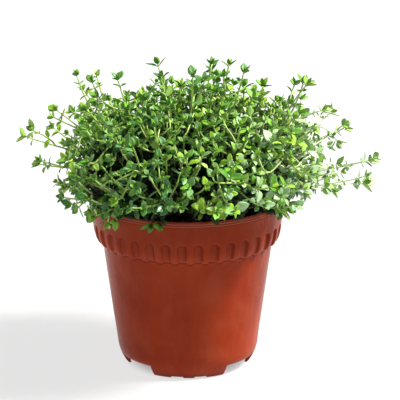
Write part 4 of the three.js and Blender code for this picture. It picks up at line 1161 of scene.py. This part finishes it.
def leaf_mesh(rows, grid):
    us, v, low, faces = grid
    d = np.array(rows)
    n = len(d)
    at, X, Y, Z = d[:, 0:3], d[:, 3:6], d[:, 6:9], d[:, 9:12]
    L, W, fold, bend, age, luck, gloss = (d[:, k] for k in range(12, 19))
    hw = np.interp(us, HALF_U, HALF_W)
    half = hw[None, :, None] * (W / 2)[:, None, None]                      # n, rows, 1
    y = v[None, None, :] * half
    blade = smooth(0.1, 0.26, us)[None, :, None]
    thick = (0.24 + 0.26 * (1 - blade)) * np.ones((n, 1, len(v)))
    dome = np.sqrt(np.clip(1 - np.abs(v) ** 2.6, 0, 1))[None, None, :]
    z = np.where(low[None, None, :] > 0.7, -1, np.where(low[None, None, :] < 0.3, 1, 0)) * 0.5 * thick * np.maximum(dome, 0.35)
    a = np.abs(v)[None, None, :]
    z = z + blade * (fold[:, None, None] * a * half - 0.30 * np.maximum(fold, 0.2)[:, None, None] * a ** 3 * half)
    groove = (np.abs(v) < 0.05)[None, None, :] * blade * (1 - smooth(0.8, 1.0, us))[None, :, None]
    z = z - groove * np.where(low[None, None, :] > 0.7, 0.16, 0.07)
    # the margin waves a little, each leaf in its own way
    ph = (luck * 40)[:, None, None]
    z = z + blade * a ** 2 * 0.07 * L[:, None, None] / 7 * np.sin(us[None, :, None] * 8.5 + ph + v[None, None, :] * 1.3)
    b = np.where(np.abs(bend) < 0.02, 0.02, bend)[:, None, None]
    ang = b * us[None, :, None]
    cx = L[:, None, None] * np.sin(ang) / b
    cz = -L[:, None, None] * (1 - np.cos(ang)) / b
    px = cx + z * np.sin(ang)
    pz = cz + z * np.cos(ang)
    skew = ((luck - 0.5) * 0.10)[:, None, None] * L[:, None, None] * us[None, :, None] ** 2
    pts = (at[:, None, None, :] + px[..., None] * X[:, None, None, :] + (y + skew)[..., None] * Y[:, None, None, :]
           + pz[..., None] * Z[:, None, None, :])
    m = len(us) * len(v)
    verts = pts.reshape(n * m, 3)
    f = (np.array([g for g in faces if len(g) == 4])[None] + (np.arange(n) * m)[:, None, None]).reshape(-1, 4).tolist()
    t = (np.array([g for g in faces if len(g) == 3])[None] + (np.arange(n) * m)[:, None, None]).reshape(-1, 3).tolist()
    leaf = np.stack(np.broadcast_arrays(us[None, :, None], v[None, None, :], low[None, None, :] + np.zeros((n, 1, 1))), -1).reshape(-1, 3)
    tone = np.repeat(np.stack([age, luck, gloss], -1), m, 0)
    # painted shade: leaves deep in the mound are darkened by this
    deep = np.array([depth_in_mound(p) for p in at + X * (L * 0.5)[:, None]])
    mx, my, mz = (at + X * (L * 0.5)[:, None]).T
    deep = deep * (1 - 0.42 * smooth(25, 60, mx) * smooth(118, 135, mz))      # less painted shade on its right, where the mound is thin
    # more painted shade in a patch left of the middle, at the front
    deep = np.clip(deep * (1 + 0.55 * np.exp(-((mx + 23) / 28) ** 2 - ((mz - 140) / 17) ** 2) * smooth(10, -20, my)), 0, 1)
    # painted sheen: whitish leaves on the right front, and a few at the far right, standing in for a highlight
    painted_sheen = (0.12 + 0.88 * smooth(-15, 45, mx)) * smooth(25, -30, my) * smooth(182, 156, mz) * (0.35 + 0.65 * smooth(112, 130, mz)) * smooth(0.46, 0.74, gloss)
    painted_sheen = np.maximum(painted_sheen, 0.45 * smooth(50, 72, mx) * smooth(0.25, 0.70, luck))
    place = np.repeat(np.stack([deep, painted_sheen, np.zeros(n)], -1), m, 0)
    return verts, f + t, leaf, tone, place


def tube(path, r0, r1, nodes, rng, steps, sides, sunk=0.0):
    """A stalk with blunt corners that swells a little at its nodes."""
    f = np.linspace(0, 1, steps + 1)
    pts = np.array([path.at(x) for x in f])
    if sunk:
        pts = np.vstack([pts[0] - (path.along(0.0) * 0.6 + UP * 0.8) * sunk, pts])
        f = np.concatenate([[0], f])
    tan = np.gradient(pts, axis=0)
    tan /= np.linalg.norm(tan, axis=1)[:, None]
    ref = np.cross(tan[0], (0.3, 0.9, 0.2))
    n1 = unit(ref)
    rings = []
    th = np.linspace(0, 2 * math.pi, sides, endpoint=False)
    shape = np.where(np.arange(sides) % 2 == 0, 1.0, 0.86) if sides == 8 else np.ones(sides)
    for i, p in enumerate(pts):
        n1 = unit(n1 - tan[i] * float(np.dot(n1, tan[i])))
        n2 = np.cross(tan[i], n1)
        r = r0 + (r1 - r0) * f[i] ** 1.2
        for q in nodes:
            r += 0.20 * r0 * math.exp(-(((f[i] - q) * path.length) / 0.8) ** 2)
        rings.append(p + (np.cos(th) * shape)[:, None] * n1 * r + (np.sin(th) * shape)[:, None] * n2 * r)
    V = np.array(rings)
    nr = len(V)
    idx = np.arange(nr * sides).reshape(nr, sides)
    faces = [(idx[i, j], idx[i, (j + 1) % sides], idx[i + 1, (j + 1) % sides], idx[i + 1, j])
             for i in range(nr - 1) for j in range(sides)]
    h = sides // 2
    for i, flip in ((0, True), (nr - 1, False)):
        for j in range(h - 1):
            g = (idx[i, j], idx[i, j + 1], idx[i, sides - j - 1]) if j == 0 else (idx[i, j], idx[i, j + 1], idx[i, sides - j - 1], idx[i, sides - j])
            faces.append(tuple(reversed(g)) if flip else g)
        g = (idx[i, h - 1], idx[i, h], idx[i, h + 1])
        faces.append(tuple(reversed(g)) if flip else g)
    return V.reshape(-1, 3), faces, np.repeat(f, sides)


def node_fractions(line, rng, first, grow, stop):
    """Where the leaf pairs sit, from the tip down, as fractions of the length from the root.
    Shoots that stand out of the mound are leggier than the rest."""
    length = line.length
    out, step = [], first * rng.uniform(0.88, 1.15)
    d = step
    while length - d > stop:
        f = 1 - d / length
        out.append(f)
        step = min(step * grow, 12.0) * rng.uniform(0.88, 1.12)
        d += step * (1.45 if out_of_mound(line.at(f)) > 1.12 else 1.0)
    return out


def pair_dirs(along, turn):
    ref = np.cross(UP, along)
    if np.linalg.norm(ref) < 0.05:
        ref = np.array([1.0, 0.0, 0.0])
    ref = turned(unit(ref), along, turn)
    return ref, -ref


def faced(x, along, lit):
    """A leaf's upper face looks along the stalk and partly up to the light."""
    f = along - x * float(np.dot(along, x))
    g = UP - x * float(np.dot(UP, x))
    return unit(unit(f) * (1 - lit) + g * lit + x * 1e-3)


def tone_at(p):
    """The lower left is darker, the right and the top are yellower: partly young growth at the top, partly painted
    light, with painted shade on the lower left and in a patch left of the middle.
    """
    t = -0.05 - 0.0014 * p[0] - 0.0036 * (p[2] - 143) + 0.010 * max(132 - p[2], 0.0)
    t += 0.27 * math.exp(-((p[0] + 23) / 26) ** 2 - ((p[2] - 142) / 15) ** 2)
    t -= 0.0032 * max(p[0] - 28, 0.0) + 0.0090 * max(-42 - p[0], 0.0)
    t += 0.14 * math.exp(-((p[0] + 50) / 20) ** 2 - ((p[2] - 117) / 10) ** 2)
    return t + 0.013 * max(p[2] - 170, 0.0) * float(smooth(75, 50, p[0]))


def dress(sprigs, rng):
    leaves = Leaves(rng)
    for s in sprigs:
        s.tone = rng.normal(0, 0.07)
        # painted light: the hanging sprigs get young yellow-green leaves so they come out bright
        if s.habit == "h":
            s.tone = -0.42
    # stalks take their room first
    for s in sprigs:
        for i, line in enumerate([s.stem] + [h.path for h in s.shoots]):
            n = max(3, int(line.length / 2.0))
            for f in np.linspace(0.03, 1, n):
                leaves.space.add(line.at(f), (s.k, i))
                if i and s.shoots[i - 1].over and 0.3 < f < 0.97:
                    out = unit((line.at(f) - CENTRE) / (84.0, 88.0, 49.0))
                    for lift in (1.3, 2.7, 4.2):
                        leaves.space.add(line.at(f) + out * lift, (s.k, i))
    lines = []
    for s in sprigs:
        lines.append((s, 0, s.stem, 0, True))
        for i, h in enumerate(s.shoots):
            lines.append((s, i + 1, h.path, h.rank, False))
    turn0 = {}
    # the rosettes at the tips
    for s, i, line, rank, main in lines:
        own = (s.k, i)
        turn0[own] = rng.uniform(0, math.pi)
        al = line.along(1.0)
        end = line.at(1.0)
        far = out_of_mound(end) > 1.10
        size = rng.uniform(0.86, 1.12) * (1.26 if far or (s.habit == "h" and end[1] < 0) else (1.15 if i and s.shoots[i - 1].over else 1.0)) * (1.0 + 0.12 * float(smooth(-30, 60, end[0])) * float(smooth(20, -30, end[1]))) * (0.92 if end[1] > 25 else 1.04)
        tall = float(smooth(88, 55, end[0])) if far else 0.0
        fine = rank < 2
        spare = 11.0 if s.habit == "h" else 0.0
        for j, (lean, L, wr, age, back, fold, bend) in enumerate((
                (38, 5.7, 0.66, 0.22, 1.0, 0.26, 0.12), (58, 4.2, 0.60, 0.09, 0.2, 0.34, -0.15), (78, 2.4, 0.52, 0.0, 0.0, 0.4, -0.2))):
            if j == 2 and rank == 2:
                continue
            ax = end - al * back
            for d in pair_dirs(al, turn0[own] + j * math.pi / 2 + rng.normal(0, 0.10)):
                le = math.radians(lean + rng.normal(0, 8))
                x = d * math.cos(le) + al * math.sin(le)
                l = L * size * rng.uniform(0.88, 1.1)
                leaves.place(s.k, ax, x, faced(x, al, 0.18), l, l * wr * rng.uniform(0.92, 1.08),
                             np.clip(age + s.tone + tone_at(end) + rng.normal(0, 0.07) + (0.20 if rank == 2 else 0.0)
                                     + (0.34, 0.16, 0.0)[j] * tall, 0, 1), fold, bend + rng.normal(0, 0.1),
                             near=0.75, owner=own, must=(j < 2 and rank < 2), fine=fine, spare=spare)
    # pairs down each shoot, the outer ones first
    jobs = []
    for s, i, line, rank, main in lines:
        stop = line.length * 0.34 if main else max(5.0, line.length * (0.30 if rank == 1 else 0.2))
        fr = node_fractions(line, rng, 5.6 if main else 4.9, 1.34 if main else 1.30, stop)
        if main:
            s.nodes = fr
        else:
            s.shoots[i - 1].nodes = fr
        for n, f in enumerate(fr):
            jobs.append(((1.0 - f) * line.length + (14 if rank == 2 else 0), s, i, line, rank, n, f))
    jobs.sort(key=lambda j: j[0])
    for down, s, i, line, rank, n, f in jobs:
        own = (s.k, i)
        al = line.along(f)
        at = line.at(f)
        deep = min(n / 4.0, 1.0)
        lean = 24 - 22 * deep
        L = (5.5 + 0.6 * min(n, 2) - 0.3 * max(n - 3, 0)) * rng.uniform(0.66, 1.22)
        if rank == 2:
            L *= 1.22
        L *= 1.0 - 0.30 * float(smooth(56, 68, at[0]) * smooth(90, 82, at[0]))
        L *= 0.90 if at[1] > 25 else (1.05 if at[1] < -35 else 1.0)
        front = float(smooth(-40, 20, at[0]) * smooth(66, 50, at[0]) * smooth(0, -40, at[1]) * smooth(162, 140, at[2]))
        L *= 1.0 + 0.16 * front
        gaunt = out_of_mound(at) > 1.12
        if gaunt and n and rng.random() < 0.25:
            continue
        age = np.clip(0.32 + 0.17 * n + s.tone + tone_at(at) + rng.normal(0, 0.13) + (0.12 if rank == 2 or gaunt else 0), 0, 1)
        fine = rank < 2 and n < 4
        spare = 8.0 if s.habit == "h" and n == 0 else 0.0
        lone = rng.random() < 0.10             # one of the pair has dropped
        for e, d in enumerate(pair_dirs(al, turn0[own] + (n + 1) * math.pi / 2 + rng.normal(0, 0.20))):
            if lone and e:
                continue
            le = math.radians(lean + rng.normal(0, 10))
            x = unit(d * math.cos(le) + al * math.sin(le) - UP * 0.06 * n)
            l = L * rng.uniform(0.90, 1.06)
            ok = leaves.place(s.k, at, x, turned(faced(x, al, 0.36), x, rng.normal(0, 0.42)), l, l * rng.uniform(0.50 + 0.10 * front, 0.72 + 0.08 * front), age,
                              rng.uniform(0.14, 0.58), rng.uniform(0.05, 0.75), near=1.15, owner=own, fine=fine, spare=spare)
            # young leaves stand in the crook of an old one
            if ok and n >= 1 and rng.random() < (0.05 if gaunt else 0.34):
                c = unit(x * 0.55 + al * 0.85)
                for w in pair_dirs(c, rng.uniform(0, math.pi)):
                    xx = unit(w * 0.62 + c * 0.75)
                    l2 = rng.uniform(2.6, 4.2)
                    leaves.place(s.k, at + c * 1.2, xx, faced(xx, c, 0.2), l2, l2 * 0.62, rng.uniform(0.05, 0.35), 0.25, 0.1,
                                 near=0.8, owner=own, fine=False)
    return leaves


def build_thyme():
    rng = np.random.default_rng(SEED)
    sprigs = grow_sprigs()
    tips = add_shoots(sprigs, rng)
    leaves = dress(sprigs, rng)
    total = 0
    for s in sprigs:
        name = "sprig_%02d" % (s.k + 1)
        # stalks
        V, F, A, count = [], [], [], 0
        luck = rng.random()
        jobs = [(s.stem, 0.76, 0.50, s.nodes, 26, 8, 2.4, 0.0)]
        for h in s.shoots:
            jobs.append((h.path, 0.58, 0.42, h.nodes, 12, 6, 0.0, 0.45))
        for line, r0, r1, nodes, steps, sides, sunk, base in jobs:
            v, f, a = tube(line, r0, r1, nodes, rng, steps, sides, sunk)
            V.append(v)
            F += [tuple(x + count for x in g) for g in f]
            # painted shade: stalks deep in the mound get a dark colour from this
            deep = np.repeat([depth_in_mound(q) for q in v.reshape(-1, sides, 3).mean(1)], sides)
            A.append(np.stack([base + (1 - base) * a, np.full(len(a), (luck + rng.uniform(-0.2, 0.2)) % 1.0), deep], -1))
            count += len(v)
        stems = make_object(name + "_stems", np.vstack(V), F, STEM, {"stem": np.vstack(A)})
        made = [(stems, "thyme_stem")]
        # leaves, those deep inside kept apart in the shaded copy of the leaf material, with little shine and little
        # light through
        rows = leaves.rows.get(s.k, [])
        inner = [depth_in_mound(r[0:3] + r[3:6] * (r[12] * 0.5)) > 0.5 for r in rows]
        for label, material, side in (("_leaves", LEAF, False), ("_inner_leaves", LEAF_INNER, True)):
            V, F, A, B, C, count = [], [], [], [], [], 0
            for grid, pick in ((LEAF_FINE, 1.0), (LEAF_PLAIN, 0.0)):
                part = [r for r, i in zip(rows, inner) if i == side and (0.0 if side else r[19]) == pick]
                if not part:
                    continue
                v, f, leaf, tone, place = leaf_mesh(part, grid)
                V.append(v)
                F += [tuple(x + count for x in g) for g in f]
                A.append(leaf)
                B.append(tone)
                C.append(place)
                count += len(v)
            if V:
                blades = make_object(name + label, np.vstack(V), F, material,
                                     {"leaf": np.vstack(A), "tone": np.vstack(B), "place": np.vstack(C)})
                made.append((blades, "thyme_leaf"))
        for ob, slot in made:
            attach(ob, "root")
            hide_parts(name)
            total += len(ob.data.polygons)
    print("thyme: %d tips, %d leaves of %d asked, %d faces" % (tips, leaves.put, leaves.asked, total))


pot = build_pot()
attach(pot, "root")
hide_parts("pot")
soil = build_soil()
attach(soil, "root")
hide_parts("soil")
build_thyme()

# ------------------------------------------------------------------ floor, light
me = bpy.data.meshes.new("floor")
edge = 48
ring = [(6.0 * math.sin(2 * math.pi * k / edge), 6.0 * math.cos(2 * math.pi * k / edge), 0.0) for k in range(edge)]
me.from_pydata([(0.0, 0.0, 0.0)] + ring, [], [(0, (k + 1) % edge + 1, k + 1) for k in range(edge)])
me.materials.append(floor_material())
floor = bpy.data.objects.new("floor", me)
bpy.context.scene.collection.objects.link(floor)


def sunlight(name, azimuth, height, strength, width, colour):
    """Light from afar, azimuth in degrees from the front towards +X."""
    from mathutils import Vector
    d = bpy.data.lights.new(name, "SUN")
    d.energy, d.angle, d.color = strength, math.radians(width), colour
    o = bpy.data.objects.new(name, d)
    a, h = math.radians(azimuth), math.radians(height)
    o.rotation_euler = Vector((-math.sin(a) * math.cos(h), math.cos(a) * math.cos(h), -math.sin(h))).to_track_quat("-Z", "Y").to_euler()
    bpy.context.scene.collection.objects.link(o)


def softbox(name, at, size, watts, colour, aim=(0.0, 0.0, 0.11)):
    from mathutils import Vector
    d = bpy.data.lights.new(name, "AREA")
    d.shape = "RECTANGLE"
    d.size, d.size_y = size
    d.energy = watts
    d.color = colour
    o = bpy.data.objects.new(name, d)
    o.location = at
    o.rotation_euler = (Vector(aim) - Vector(at)).to_track_quat("-Z", "Y").to_euler()
    bpy.context.scene.collection.objects.link(o)


sunlight("key", 88, 51, 8.0, 14, (1.0, 0.97, 0.93))
sunlight("fill", -35, 50, 0.3, 50, (0.94, 0.97, 1.0))
softbox("strip", (-1.05, 0.75, 0.35), (0.25, 0.9), 5.0, (1.0, 1.0, 1.0))

world = bpy.data.worlds.new("studio")
bpy.context.scene.world = world
world.use_nodes = True
back = world.node_tree.nodes["Background"]
back.inputs[0].default_value = (0.93, 0.96, 1.0, 1.0)
back.inputs[1].default_value = 0.10
bpy.context.scene.view_settings.view_transform = "Standard"
bpy.context.scene.view_settings.look = "None"
